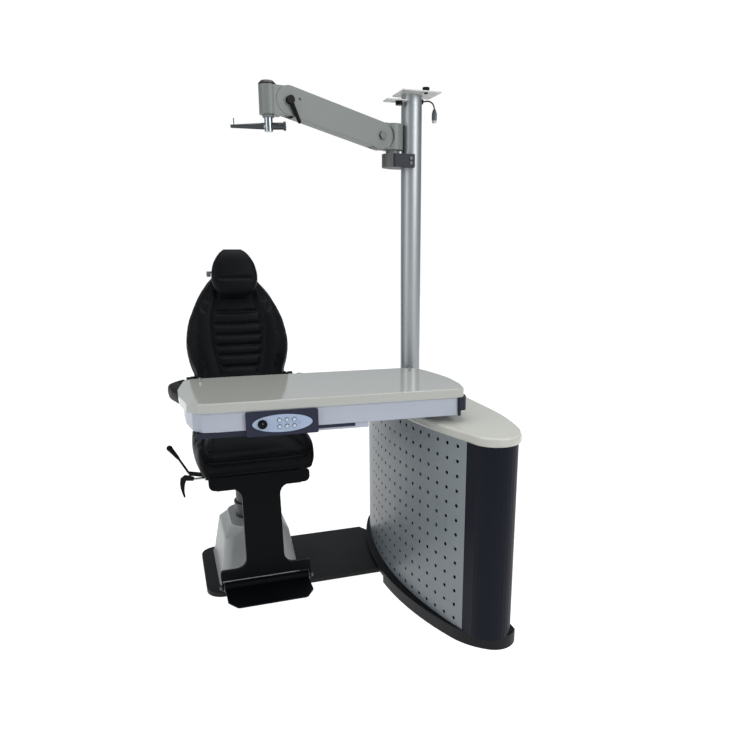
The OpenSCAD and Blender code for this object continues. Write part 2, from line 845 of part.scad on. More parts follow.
// Two cap screws in the front of the bracket
module bracket_screws() {
  color("silver")
  for (side = [-1, 1])
    translate([pole_x - bracket_step - screw_inset, 0,
      bracket_top - bracket_height / 2 + side * screw_half_pitch])
    difference() {
      rod_y(screw_r, -swivel_front - swivel_boss_r - screw_head, -swivel_front - swivel_boss_r);
      rotate([90, 0, 0])
        translate([0, 0, swivel_front + swivel_boss_r + screw_head / 2])
        cylinder(r = screw_r / 2, h = screw_head, $fn = 6);
    }
}

// Flat plates for an accessory at the head of the pole
module projector_plates() {
  color("whitesmoke")
  difference() {
    union() {
      translate([top_plate_x, -top_plate_front, pole_top])
        linear_extrude(plate_sheet)
        polygon(rounded(box_outline(top_plate_width, top_plate_depth), plate_corner));
      difference() {
        translate([low_plate_x - low_plate_width / 2, -low_plate_front - low_plate_depth / 2,
          pole_top - low_plate_drop - plate_sheet])
          cube([low_plate_width, low_plate_depth, plate_sheet]);
        at_pole() bore(pole_r, pole_top - low_plate_drop - plate_sheet, pole_top - low_plate_drop);
      }
    }
    translate([knob_top_x, -knob_top_front, 0]) bore(knob_shaft_r + fit, pole_top, pole_top + plate_sheet);
    translate([knob_low_x, -knob_low_front, 0])
      bore(knob_shaft_r + fit, pole_top - low_plate_drop - plate_sheet, pole_top - low_plate_drop);
  }
}

// A clamping knob on a screw that passes a plate, drawn above the plate's top face
module plate_knob() {
  rod(knob_shaft_r, -plate_sheet - nut_gap - nut_height, gap + over);
  rod(knob_top_r, gap, gap + knob_top_height);
  rod(nut_r, -plate_sheet - nut_gap - nut_height, -plate_sheet - nut_gap);
}

module knob_top() {
  color("black")
  translate([knob_top_x, -knob_top_front, pole_top + plate_sheet]) plate_knob();
}

module knob_under() {
  color("black")
  translate([knob_low_x, -knob_low_front, pole_top - low_plate_drop - plate_sheet])
  mirror([0, 0, 1])
  plate_knob();
}

// Bush where the cable leaves the pole
module cable_gland() {
  color("black")
  difference() {
    translate([pole_x, cord_points[0][1], cord_points[0][2]])
      rotate([0, 90, 0])
      cylinder(r = gland_r, h = cord_points[0][0] - pole_x, $fn = fine);
    at_pole() bore(pole_r, cord_points[0][2] - 2 * gland_r, cord_points[0][2] + 2 * gland_r);
  }
}

// Direction of the cable at each of its points
function cord_way(i) =
  let (a = cord_points[max(0, i - 1)], b = cord_points[min(len(cord_points) - 1, i + 1)])
  i == 0 ? [1, 0, 0] : i == len(cord_points) - 1 ? [0, 0, -1] : (b - a) / norm(b - a);

function cord_ring(i) =
  let (t = cord_way(i), u0 = cross(t, [0, 1, 0]), u = u0 / norm(u0), v = cross(t, u))
  [for (k = [0:cord_sides - 1])
    cord_points[i] + cord_d / 2 * (u * cos(360 * k / cord_sides) + v * sin(360 * k / cord_sides))];

module instrument_cable() {
  color("black")
  loft([for (i = [0:len(cord_points) - 1]) cord_ring(i)]);
}

// Round plug on the end of the cable, with its narrower nose at the bottom
module cable_connector() {
  tip = cord_points[len(cord_points) - 1];
  color("gray")
  translate(tip)
  union() {
    translate([0, 0, -plug_neck]) cylinder(r1 = plug_r, r2 = cord_d, h = plug_neck, $fn = fine);
    rod(plug_r, -plug_length + plug_nose, -plug_neck);
    rod(plug_r - plug_wall, -plug_length, -plug_length + plug_nose);
  }
}

// --- Instrument arm, in the frame of its swivel: x along the arm, y to the front ---
base_z = bracket_top + spacer_height;
tilt_z = base_z + arm_base_height / 2;
tongue = arm_width / 2 - cheek - tongue_gap;
head_x = arm_base_length + arm_link_length * cos(arm_tilt);
head_z = tilt_z + arm_link_length * sin(arm_tilt);

// Room for the level link in a tongue, drawn about the tilt pivot
module link_slot(way) {
  half = link_thick / 2 + tongue_gap;
  mirror([way < 0 ? 1 : 0, 0, 0]) {
    block([-link_r - tongue_gap - pocket_gap, -half, -tongue_r - over],
      [tongue_r + over, half, -tilt_bolt_r - over]);
    block([link_r, -half, -tongue_r - over], [tongue_r + over, half, tilt_bolt_r]);
  }
  translate([0, 0, -link_drop]) rod_y(link_pin_r + (way < 0 ? gap : fit), -tongue - over, tongue + over);
}

// Swivel block with its pin in the bracket and its tongue in the arm
module arm_base() {
  color("rosybrown")
  at_swivel()
  difference() {
    union() {
      rod(swivel_pin_r, bracket_top - swivel_pin_length + over, base_z);
      rod(spacer_r, bracket_top + fit, base_z);
      difference() {
        union() {
          rod(arm_base_r, base_z, base_z + arm_base_height);
          block([0, -arm_width / 2, base_z], [arm_base_length, arm_width / 2, base_z + arm_base_height]);
        }
        translate([arm_base_length, 0, tilt_z]) {
          rod_y(arm_half_height + pocket_gap, -arm_width, -tongue);
          rod_y(arm_half_height + pocket_gap, tongue, arm_width);
        }
      }
      translate([arm_base_length, 0, tilt_z]) rod_y(tongue_r, -tongue, tongue);
    }
    translate([arm_base_length, 0, tilt_z]) {
      rod_y(tilt_bolt_r, -arm_width, arm_width);
      link_slot(1);
    }
  }
}

// Hexagon bolt and nut at the lower tilt pivot
module arm_bolt() {
  color("silver")
  at_swivel()
  translate([arm_base_length, 0, tilt_z])
  for (side = [0, 1])
    mirror([0, side, 0]) {
      rod_y(tilt_bolt_r, 0, arm_width / 2 + gap);
      translate([0, arm_width / 2 + gap, 0])
        rotate([-90, 0, 0])
        cylinder(r = tilt_head_r, h = tilt_head, $fn = 6);
    }
}

// Hollow arm: two cheeks joined above and below
module arm_shell() {
  color("gray")
  at_swivel()
  translate([arm_base_length, 0, tilt_z])
  rotate([0, -arm_tilt, 0])
  difference() {
    union() {
      rod_y(arm_half_height, -arm_width / 2, arm_width / 2);
      translate([arm_link_length, 0, 0]) rod_y(arm_half_height, -arm_width / 2, arm_width / 2);
      block([0, -arm_width / 2, -arm_half_height], [arm_link_length, arm_width / 2, arm_half_height]);
    }
    block([0, -arm_width / 2 + cheek, -arm_half_height + cheek],
      [arm_link_length, arm_width / 2 - cheek, arm_half_height - cheek]);
    for (x = [0, arm_link_length])
      translate([x, 0, 0]) {
        rod_y(arm_half_height + arm_open, -arm_width / 2 + cheek, arm_width / 2 - cheek);
        rod_y(tilt_bolt_r + fit, -arm_width, arm_width);
      }
    translate([arm_link_length - peep_x, 0, peep_z]) rod_y(peep_r, arm_width / 2 - cheek - over, arm_width);
  }
}

// Thin link inside the arm that keeps the head level
module level_link() {
  color("silver")
  at_swivel()
  translate([arm_base_length, 0, tilt_z - link_drop])
  rotate([0, -arm_tilt, 0]) {
    block([0, -link_thick / 2, -link_half], [arm_link_length, link_thick / 2, link_half]);
    for (x = [0, arm_link_length])
      translate([x, 0, 0]) {
        rod_y(link_r, -link_thick / 2, link_thick / 2);
        rod_y(link_pin_r, -tongue + pocket_gap, tongue - pocket_gap);
      }
  }
}

// Head of the arm: tongue, block and the cylinder that carries the spindle
module head_block() {
  color("gray")
  at_swivel()
  translate([head_x, 0, head_z])
  difference() {
    union() {
      difference() {
        union() {
          block([0, -arm_width / 2, -head_down], [head_reach, arm_width / 2, head_up]);
          translate([head_reach, 0, 0]) rod(head_r, -head_down, head_up);
        }
        rod_y(arm_half_height + pocket_gap, -arm_width, -tongue);
        rod_y(arm_half_height + pocket_gap, tongue, arm_width);
        block([-over, -arm_width, -head_down - over], [head_heel, arm_width, heel_rise - tongue_r]);
      }
      rod_y(tongue_r, -tongue, tongue);
      translate([head_reach, 0, 0]) rod(neck_r, -head_down - neck_height, -head_down);
    }
    rod_y(clamp_shaft_r + fit, -arm_width, arm_width);
    link_slot(-1);
    translate([head_reach, 0, 0]) {
      bore(spindle_r + fit, -head_down - neck_height, head_up);
      bore(spindle_head_r + fit, head_up - spindle_head - gap, head_up);
    }
  }
}

// Domed cap over the head
module head_cap() {
  color("black")
  at_swivel()
  translate([head_x + head_reach, 0, head_z + head_up]) {
    rod(head_r, 0, cap_rim);
    translate([0, 0, cap_rim])
      cylinder(r1 = head_r, r2 = head_r * cap_share, h = cap_height - cap_rim, $fn = fine);
  }
}

// Clamping lever with its shaft through the arm and the head's tongue
module clamp_lever() {
  color("black")
  at_swivel()
  translate([head_x, 0, head_z]) {
    rod_y(clamp_shaft_r, -arm_width / 2 - gap - over, arm_width / 2 + gap + over);
    rod_y(clamp_boss_r, arm_width / 2 + gap, arm_width / 2 + gap + clamp_thick);
    rod_y(clamp_boss_r, -arm_width / 2 - gap - tilt_head, -arm_width / 2 - gap);
    translate([0, arm_width / 2 + gap + clamp_thick / 2, 0])
      rotate([0, 180 + clamp_angle, 0]) {
        cylinder(r1 = clamp_bar_r, r2 = clamp_bar_r * clamp_taper_share, h = clamp_length, $fn = fine);
        translate([0, 0, clamp_length]) sphere(r = clamp_bar_r * clamp_taper_share, $fn = fine);
      }
  }
}

// Spindle below the head with the cross bar that a phoropter hangs from
module phoropter_holder() {
  foot = -head_down - spindle_drop;
  bar_z = foot + bar_lift;
  color("silver")
  at_swivel()
  translate([head_x + head_reach, 0, head_z]) {
    rod(spindle_r, foot, head_up - gap - over);
    rod(spindle_head_r, head_up - spindle_head - gap, head_up - gap);
    translate([0, 0, bar_z])
      rotate([0, 0, bar_heading - arm_heading]) {
        rotate([0, 90, 0]) cylinder(r = bar_r, h = bar_right, $fn = fine);
        translate([bar_right - bar_flange, 0, 0])
          rotate([0, 90, 0])
          cylinder(r = bar_r + bar_flange / 2, h = bar_flange, $fn = fine);
        rotate([0, -90, 0]) cylinder(r1 = bar_r, r2 = bar_tip_r, h = bar_left, $fn = fine);
        translate([-bar_left + 2 * bar_tip_r, 0, 0]) rod(bar_pin_r, 0, bar_pin_height);
      }
  }
}

// --- Lift and seat frame ---
// Moving tube with the flange that the seat turns on
module lift_tube() {
  color("silver")
  difference() {
    union() {
      rod(lift_r, column_top - lift_overlap, frame_bottom);
      rod(lift_flange_r, frame_bottom - lift_flange, frame_bottom);
    }
    bore(lift_r - lift_tube_wall, column_top - lift_overlap, frame_bottom);
  }
}

// A lug on the left rail with the pin of a lever, pin towards the front
module lever_lug(x, z, y) {
  block([x - lever_boss_r, y, z - lug_height / 2], [-rail_span / 2, y + lug_thick, z + lug_height / 2]);
  translate([x, 0, z]) {
    rod_y(lever_pin_r, y - lever_thick - 2 * gap - lug_thick / 2, y);
    rod_y(lever_pad_r, y - lever_thick - 2 * gap - lug_thick / 2, y - lever_thick - 2 * gap);
  }
}

// Welded frame under the seat with the swivel pin
module seat_frame() {
  color("dimgray") {
    for (side = [-1, 1])
      translate([side * (rail_span - rail_width) / 2, (rail_rear - rail_front) / 2,
        frame_bottom + rail_height / 2])
      difference() {
        cube([rail_width, rail_rear + rail_front, rail_height], center = true);
        cube([rail_width - 2 * rail_wall, rail_rear + rail_front + 2 * over, rail_height - 2 * rail_wall],
          center = true);
      }
    block([-rail_span / 2 + rail_width, -rail_front, frame_bottom],
      [rail_span / 2 - rail_width, -rail_front + rail_width, seat_base]);
    for (side = [-1, 1])
      translate([side * (bracket_x + rail_span / 2) / 2, rail_rear - rail_width / 2,
        frame_bottom + rail_height / 2])
      cube([bracket_x - rail_span / 2, rail_width, rail_height - 2 * rail_wall], center = true);
    block([-rail_span / 2 + rail_width, rail_rear - rail_width, frame_bottom],
      [rail_span / 2 - rail_width, rail_rear, seat_base]);
    block([-rail_span / 2 + rail_width, -rail_front + rail_width, frame_bottom],
      [rail_span / 2 - rail_width, rail_rear - rail_width, frame_bottom + seat_plate]);
    rod(lift_r - lift_tube_wall - fit, frame_bottom - swivel_pin_length, frame_bottom);
    lever_lug(recline_pivot_x, seat_base - recline_pivot_drop, recline_lever_y);
    lever_lug(brake_pivot_x, seat_base - brake_pivot_drop, brake_lever_y);
  }
}

// One row of the seat cushion: its outline in (x, z)
function seat_row(v) =
  let (y = -seat_front + v * (seat_front + seat_rear),
       w = seat_width / 2 * lookup(v, seat_width_shares),
       h = seat_thick * lookup(v, seat_height_shares),
       b = h + seat_bolster * lookup(v, seat_bolster_shares),
       s = lookup(v, seat_seam_shares),
       left = concat([for (p = seat_side_shares) [-p[0] - p[1] * s, p[2] * b + p[3] * h]],
         [for (p = seat_top_shares) [-p[0] * s, h - p[1] * seam_depth]]))
  concat([for (p = left) [p[0] * w, y, seat_base + p[1]]],
    [for (i = [len(left) - 1:-1:0]) [-left[i][0] * w, y, seat_base + left[i][1]]]);

module seat_cushion() {
  color("black")
  loft([for (v = seat_row_shares) seat_row(v)]);
}

// Calf panel, drawn from the top edge of its front face
module at_calf() {
  translate([0, -seat_front, calf_top]) rotate([-calf_lean, 0, 0]) children();
}

module calf_panel() {
  drop = (calf_top - foot_z) / cos(calf_lean);
  foot = drop - foot_tube_r - calf_foot_gap;
  neck = foot - calf_flange_height + calf_corner;
  ear_neck = foot_ear_r * foot_neck_share;
  color("black")
  difference() {
    union() {
      at_calf() {
        run_y(0, calf_thick)
          polygon(rounded([[calf_width / 2, 0], [-calf_width / 2, 0], [-calf_width / 2, -calf_flange_height],
            [-calf_stem_width / 2, -calf_flange_height], [-calf_stem_width / 2, -neck],
            [-calf_foot_width / 2, -neck], [-calf_foot_width / 2, -foot], [calf_foot_width / 2, -foot],
            [calf_foot_width / 2, -neck], [calf_stem_width / 2, -neck],
            [calf_stem_width / 2, -calf_flange_height], [calf_width / 2, -calf_flange_height]],
            [calf_corner, calf_corner, calf_flange_corner, calf_fillet_r, calf_fillet_r, calf_corner,
             calf_corner / 2, calf_corner / 2, calf_corner, calf_fillet_r, calf_fillet_r,
             calf_flange_corner]));
        for (side = [0, 1])
          mirror([side, 0, 0])
          run_x(foot_tube_length / 2 + washer_thick + foot_web_inset,
            foot_tube_length / 2 + washer_thick + foot_ear_thick - foot_web_inset)
          polygon([[-ear_neck, -drop], [ear_neck, -drop], [calf_thick - foot_ear_inset, -foot + calf_corner],
            [foot_ear_inset, -foot + calf_corner]]);
      }
      for (side = [0, 1])
        mirror([side, 0, 0])
        translate([foot_tube_length / 2 + washer_thick + foot_ear_thick / 2, -foot_y, foot_z])
        rod_x(foot_ear_r, foot_ear_thick);
    }
    translate([0, -foot_y, foot_z]) rod_x(foot_pin_r, foot_pin_length);
  }
}

// Plates that carry the backrest hinge and reach forward beside the seat
module side_brackets() {
  color("silver")
  difference() {
    for (side = [0, 1])
      mirror([side, 0, 0])
      run_x(bracket_x, bracket_x + bracket_thick)
      polygon(rounded([for (p = bracket_shares)
        [rail_rear + over - bracket_depth + p[0] * bracket_depth, frame_bottom + over + p[1] * bracket_rise]],
        bracket_thick));
    translate([0, hinge_y, hinge_z]) rod_x(recline_pin_r, 2 * bracket_x + 4 * bracket_thick);
  }
}

// Hinge pins of the backrest and of the footrest, with their washers
module chair_pins() {
  color("silver") {
    translate([0, hinge_y, hinge_z]) rod_x(recline_pin_r, 2 * (bracket_x + bracket_thick + over));
    translate([0, -foot_y, foot_z]) {
      rod_x(foot_pin_r, foot_pin_length);
      for (side = [-1, 1])
        translate([side * (foot_tube_length + washer_thick) / 2, 0, 0]) rod_x(foot_washer_r, washer_thick);
    }
  }
}

// Tube and plate for the feet
module footrest_plate() {
  bush = (foot_tube_length - foot_bush) / 2;
  color("black")
  translate([0, -foot_y, foot_z]) {
    difference() {
      union() {
        rod_x(foot_tube_r, foot_tube_length);
        translate([0, 0, -foot_tube_r / 2])
          linear_extrude(foot_plate, center = true)
          polygon(rounded([[foot_half, 0], [-foot_half, 0], [-foot_half, -foot_depth * foot_chamfer_share],
            [-foot_half * foot_tip_share, -foot_depth], [foot_half * foot_tip_share, -foot_depth],
            [foot_half, -foot_depth * foot_chamfer_share]],
            [0, 0, foot_corner, foot_corner, foot_corner, foot_corner]));
      }
      rod_x(foot_tube_r - foot_tube_wall, foot_tube_length + over);
    }
    for (side = [-1, 1])
      translate([side * bush, 0, 0])
      difference() {
        rod_x(foot_tube_r - foot_tube_wall, foot_bush);
        rod_x(foot_pin_r + fit, foot_bush + over);
      }
  }
}

// --- Backrest ---
function back_row(v) =
  let (s = back_foot + v * back_length,
       w = back_half * lookup(v, back_width_shares),
       d = back_thick * lookup(v, back_thick_shares),
       q = lookup(v, panel_shares),
       dip = min([for (c = channel_shares) abs(v - c)]) < channel_half_share / 3 ? channel_depth : 0,
       c = d - panel_sink,
       half = concat([for (p = back_side_shares) [-p[0] - p[1] * q, p[2] * d]],
         [for (p = back_panel_shares) [-p[0] * q, c - p[1] * seam_depth - p[2] * dip]]))
  concat([[rear_share * w, shell_front, s], [-rear_share * w, shell_front, s]],
    [for (p = half) [p[0] * w, shell_front - p[1], s]],
    [for (i = [len(half) - 1:-1:0]) [-half[i][0] * w, shell_front - half[i][1], s]]);

// Rows of the back cushion: three at each channel, and one between
back_rows = concat(foot_row_shares,
  [for (i = [0:len(channel_shares) - 1])
    let (c = channel_shares[i],
         n = i < len(channel_shares) - 1 ? (c + channel_shares[i + 1]) / 2 : c + 3 * channel_half_share)
    each [c - channel_half_share, c, c + channel_half_share, n]],
  top_row_shares);

module back_cushion() {
  color("black")
  at_back()
  loft([for (v = back_rows) back_row(v)]);
}

// Outline of the back shell in (x, height along the back)
function shell_side(way) = [for (p = back_width_shares)
  [way * (back_half * p[1] - shell_inset), back_foot + p[0] * back_length]];

module back_frame() {
  left = shell_side(-1);
  right = shell_side(1);
  corner = arm_boss_r * boss_corner_share;
  color("dimgray")
  at_back()
  difference() {
    union() {
      run_y(shell_front, shell_rear)
        polygon(concat(right, [for (i = [len(left) - 1:-1:0]) left[i]]));
      for (side = [0, 1])
        mirror([side, 0, 0]) {
          run_x(ear_x - ear_thick, ear_x)
            polygon([[-ear_r / 2, 0], [ear_r, 0], [shell_rear, back_foot / 2], [shell_rear, 1.6 * back_foot],
              [shell_front, 1.6 * back_foot], [shell_front, 0.9 * back_foot], [-ear_r / 2, back_foot / 2]]);
          translate([ear_x - ear_thick / 2, 0, 0]) rod_x(ear_r, ear_thick);
          block([ear_x - 2 * ear_thick, shell_front, arm_pivot_s - arm_boss_r],
            [arm_ear_x + arm_ear_thick, shell_rear, arm_pivot_s + arm_boss_r]);
          run_x(arm_ear_x, arm_ear_x + arm_ear_thick)
            polygon(rounded([[arm_pivot_t - corner, arm_pivot_s + corner],
              [arm_pivot_t - corner, arm_pivot_s - corner],
              [shell_rear, arm_pivot_s - arm_boss_r], [shell_rear, arm_pivot_s + arm_boss_r]],
              arm_boss_r / 3));
          translate([arm_ear_x, arm_pivot_t, arm_pivot_s])
            rotate([0, 90, 0]) {
              cylinder(r = arm_pin_r, h = arm_ear_thick + arm_boss_width + 3 * gap + over, $fn = fine);
              translate([0, 0, arm_ear_thick + arm_boss_width + 3 * gap])
                cylinder(r = arm_pin_r + over, h = over, $fn = fine);
            }
        }
    }
    block([-stem_width / 2 - gap, shell_front + stem_thick - gap / 2, stem_foot - over],
      [stem_width / 2 + gap, shell_front + 2 * stem_thick + gap / 2, back_foot + back_length + over]);
    rod_x(recline_pin_r + fit, 2 * ear_x + over);
  }
}

// Flat bar that slides in the back shell and carries the headrest pad
module headrest_stem() {
  rear = head_front + head_thick;
  color("silver")
  at_back() {
    block([-stem_width / 2, shell_front + stem_thick, stem_foot],
      [stem_width / 2, shell_front + 2 * stem_thick, stem_top]);
    block([-stem_width / 2, rear, stem_top - stem_thick],
      [stem_width / 2, shell_front + 2 * stem_thick, stem_top]);
    block([-stem_width / 2, rear, stem_top - stem_thick],
      [stem_width / 2, rear + stem_thick, stem_top + 2 * stem_width]);
    block([-clip_reach, rear + stem_thick, stem_top - stem_thick],
      [0, rear + stem_thick + clip_width, stem_top]);
    block([-clip_reach - clip_thick, rear + stem_thick, stem_top - clip_height],
      [-clip_reach, rear + stem_thick + clip_width, stem_top]);
  }
}

function head_row(v) =
  let (s = head_foot + v * head_height,
       w = head_width / 2 * lookup(v, head_width_shares),
       d = head_thick * lookup(v, head_thick_shares),
       rear = head_front + head_thick,
       half = [for (p = head_side_shares) [-p[0], p[1] * d]])
  concat([[rear_share * w, rear, s], [-rear_share * w, rear, s]],
    [for (p = half) [p[0] * w, rear - p[1], s]],
    [for (i = [len(half) - 1:-1:0]) [-half[i][0] * w, rear - half[i][1], s]]);

module head_cushion() {
  color("black")
  at_back()
  loft([for (v = head_row_shares) head_row(v)]);
}

// --- Armrests, drawn for the right side ---
arm_y = hinge_y + arm_pivot_t * cos(back_lean) + arm_pivot_s * sin(back_lean);
arm_z = hinge_z - arm_pivot_t * sin(back_lean) + arm_pivot_s * cos(back_lean);

module arm_rest_bar() {
  inner = arm_ear_x + arm_ear_thick + gap;
  color("dimgray")
  difference() {
    union() {
      translate([inner + arm_boss_width / 2, arm_y, arm_z]) rod_x(arm_boss_r, arm_boss_width);
      translate([0, 0, arm_z - pad_drop - arm_bar])
        linear_extrude(arm_bar)
        polygon([for (p = [[0.02, 0, 0], [0.02, 1, 0], [0.37, 1, 0.55], [0.5, 1, 0.7], [0.85, 1, 0.3],
                           [0.85, 0, 0.3], [0.5, 0, 0.7], [0.37, 0, 0.55]])
          [inner + p[1] * arm_bar_width + p[2] * arm_rest_width, arm_y - p[0] * arm_rest_length]]);
      block([inner, arm_y - arm_boss_r, arm_z - pad_drop - arm_bar], [inner + arm_bar_width, arm_y, arm_z]);
    }
    translate([inner + arm_boss_width / 2, arm_y, arm_z]) rod_x(arm_pin_r + fit, arm_boss_width + over);
  }
}

function pad_row(v) =
  let (y = arm_y - v * arm_rest_length,
       a = pad_x + arm_rest_width * lookup(v, pad_inner_shares),
       b = pad_x + arm_rest_width * lookup(v, pad_outer_shares),
       m = (a + b) / 2,
       w = (b - a) / 2,
       h = arm_rest_thick * lookup(v, pad_thick_shares),
       z = arm_z - pad_drop,
       half = [for (p = pad_side_shares) [-p[0], p[1] * h]])
  concat([for (p = half) [m + p[0] * w, y, z + p[1]]],
    [for (i = [len(half) - 1:-1:0]) [m - half[i][0] * w, y, z + half[i][1]]]);

module arm_rest_pad() {
  color("black")
  loft([for (v = pad_row_shares) pad_row(v)]);
}

module armrest_bar_right() {
  arm_rest_bar();
}

module armrest_bar_left() {
  mirror([1, 0, 0]) arm_rest_bar();
}

module armrest_pad_right() {
  arm_rest_pad();
}

module armrest_pad_left() {
  mirror([1, 0, 0]) arm_rest_pad();
}

// --- Levers on the left of the seat ---
// A round stick between two points of the (x, z) plane
module stick(a, b, r_a, r_b) {
  translate([a[0], 0, a[1]])
    rotate([0, atan2(b[0] - a[0], b[1] - a[1]), 0])
    cylinder(r1 = r_a, r2 = r_b, h = norm(b - a), $fn = 24);
}

module recline_lever() {
  path = [for (p = recline_path_shares) p * recline_reach];
  middle = recline_lever_y - gap - lever_thick / 2;
  color("black")
  translate([recline_pivot_x, middle, seat_base - recline_pivot_drop])
  difference() {
    union() {
      rod_y(lever_boss_r, -lever_thick / 2, lever_thick / 2);
      rotate([0, atan2(-path[1][1], path[1][0]), 0])
        block([0, -lever_thick / 2, -lever_bar / 2], [norm(path[1]), lever_thick / 2, lever_bar / 2]);
      stick(path[1], path[2], lever_rod_r, lever_rod_r);
      stick(path[2], path[3], lever_rod_r * lever_neck_share, lever_knob_r * knob_end_share);
      translate([path[3][0], 0, path[3][1]]) sphere(r = lever_knob_r, $fn = 24);
    }
    rod_y(lever_pin_r + fit, -lever_thick, lever_thick);
  }
}

// Outline of a bent flat bar whose half width changes along its path
function ribbon(path, half) =
  let (n = len(path) - 1,
       side = [for (i = [0:n])
         let (d = path[min(n, i + 1)] - path[max(0, i - 1)]) half[i] * [-d[1], d[0]] / norm(d)])
  concat([for (i = [0:n]) path[i] + side[i]], [for (i = [n:-1:0]) path[i] - side[i]]);

module brake_lever() {
  path = [for (p = brake_path_shares) p * brake_reach];
  middle = brake_lever_y - gap - lever_thick / 2;
  color("black")
  translate([brake_pivot_x, middle, seat_base - brake_pivot_drop])
  difference() {
    union() {
      rod_y(lever_boss_r, -lever_thick / 2, lever_thick / 2);
      stick([0, 0], path[0] + [-lever_boss_r, 0], lever_rod_r, lever_rod_r);
      run_y(-lever_thick / 2, lever_thick / 2)
        polygon(ribbon(path, [for (w = brake_width_shares) w * hook_half]));
    }
    rod_y(lever_pin_r + fit, -lever_thick, lever_thick);
  }
}

// --- Table, in its own frame: origin on the pole, x to the right, y to the rear ---
function table_outline(grow_x, grow_y) = rounded([for (p = table_shares)
  [table_right + grow_x - p[0] * (table_length + 2 * grow_x),
   -table_back + grow_y - p[1] * (table_depth + 2 * grow_y)]],
  table_corner_r);

rim_z = table_z - rim_height;
body_z = rim_z - body_height;
front_y = -(table_back + table_depth - body_front_inset);
box_mid = box_left + box_width / 2;
box_z = box_top - box_height / 2;
face_y = front_y - box_thick;

// Table top with a small chamfer around its upper edge
module table_top() {
  color("whitesmoke")
  at_table() {
    translate([0, 0, rim_z]) linear_extrude(rim_height - table_chamfer) polygon(table_outline(0, 0));
    translate([0, 0, table_z - table_chamfer])
      linear_extrude(table_chamfer)
      polygon(table_outline(-table_chamfer, -table_chamfer));
  }
}

// Two small pegs that locate an instrument on the table
module table_pins() {
  color("silver")
  at_table()
  for (p = pin_shares)
    translate([table_right - p[0] * table_length, -table_back - p[1] * table_depth, 0])
    rod(pin_r, table_z, table_z + pin_height);
}

// Sheet metal body under the top, open above, with the window for the control box
module table_body() {
  color("lightsteelblue")
  at_table()
  difference() {
    translate([0, 0, body_z])
      linear_extrude(body_height)
      polygon(table_outline(-body_inset, -body_front_inset));
    translate([0, 0, body_z + body_wall])
      linear_extrude(body_height)
      polygon(table_outline(-body_inset - body_wall, -body_front_inset - body_wall));
    block([box_left + housing_inset - gap, front_y - over, body_z + housing_inset - gap],
      [box_left + box_width - housing_inset + gap, front_y + box_depth, box_top - housing_inset + gap]);
  }
}

// Collar on the pole with the plate that carries the body
module table_hub() {
  base = cabinet_top_z + pole_collar;
  color("dimgray")
  at_table()
  difference() {
    union() {
      rod(hub_r, base, rim_z - over);
      block([-hub_width / 2, -hub_reach, body_z - hub_plate], [hub_width / 2, 0, body_z]);
    }
    bore(pole_r + fit, base, rim_z);
  }
}

// Ring of points around the table that lies outside the body at the right end
module end_bumper() {
  color("midnightblue")
  at_table()
  difference() {
    union() {
      translate([0, 0, rim_z - bumper_height])
        linear_extrude(bumper_height)
        polygon(table_outline(bumper_proud, 0));
      translate([0, 0, rim_z - bumper_height - bumper_drop])
        linear_extrude(bumper_drop)
        polygon(table_outline(-bumper_low_inset, -body_front_inset / 2));
    }
    translate([0, 0, rim_z - bumper_height - bumper_drop - over])
      linear_extrude(bumper_height + bumper_drop + 2 * over)
      polygon(table_outline(-body_inset, -body_front_inset));
    block([-table_length, -2 * table_depth, 0], [table_right - bumper_reach, table_depth, table_z]);
    block([-table_length, -table_back - table_depth / 3, 0], [table_length, table_depth, table_z]);
  }
}

// Shallow pan under the body
module under_tray() {
  color("gainsboro")
  at_table()
  difference() {
    block([-tray_left, front_y + tray_inset, body_z - tray_height], [-tray_right, -tray_back, body_z]);
    block([-tray_left + tray_wall, front_y + tray_inset + tray_wall, body_z - tray_height + tray_wall],
      [-tray_right - tray_wall, -tray_back - tray_wall, body_z + over]);
  }
}

// Dark strip along the front of the pan
module tray_strip() {
  color("midnightblue")
  at_table()
  block([-strip_left, front_y + tray_inset - strip_thick, body_z - strip_height],
    [-strip_right, front_y + tray_inset, body_z]);
}

// Places of the six buttons on the control box, from its middle
function button_at(i) =
  [box_mid + button_offset + (i % 3) * button_pitch,
   box_z + (i < 3 ? 1 : -1) * button_pitch * button_row_share];

// Dark plate and housing of the controls
module control_box() {
  color("midnightblue")
  at_table()
  difference() {
    union() {
      run_y(face_y, front_y)
        polygon(rounded([for (p = box_outline(box_width, box_height)) p + [box_mid, box_z]], box_corner_r));
      block([box_left + housing_inset, front_y, body_z + housing_inset],
        [box_left + box_width - housing_inset, front_y + box_depth, box_top - housing_inset]);
    }
    control_bores();
  }
}

// Bores for the buttons and for the shaft of the dial
module control_bores() {
  front = face_y - face_thick - over;
  for (i = [0:5])
    translate([button_at(i)[0], 0, button_at(i)[1]])
    rod_y(button_r + fit, front, face_y + button_pocket);
  translate([box_mid + knob_offset, 0, box_z]) rod_y(knob_shaft_r + fit, front, face_y + button_pocket);
}

// Oval fascia with a small socket
module control_face() {
  color("lightsteelblue")
  at_table()
  difference() {
    union() {
      run_y(face_y - face_thick, face_y)
        polygon([for (a = [0:7.5:359])
          [box_mid + face_width / 2 * cos(a), box_z + face_height / 2 * sin(a)]]);
      translate([box_mid + socket_offset, 0, box_z])
        rod_y(socket_r, face_y - 2 * face_thick, face_y - face_thick);
    }
    translate([box_mid + socket_offset, 0, box_z])
      rod_y(socket_hole_r, face_y - 2 * face_thick - over, face_y - face_thick);
    control_bores();
  }
}

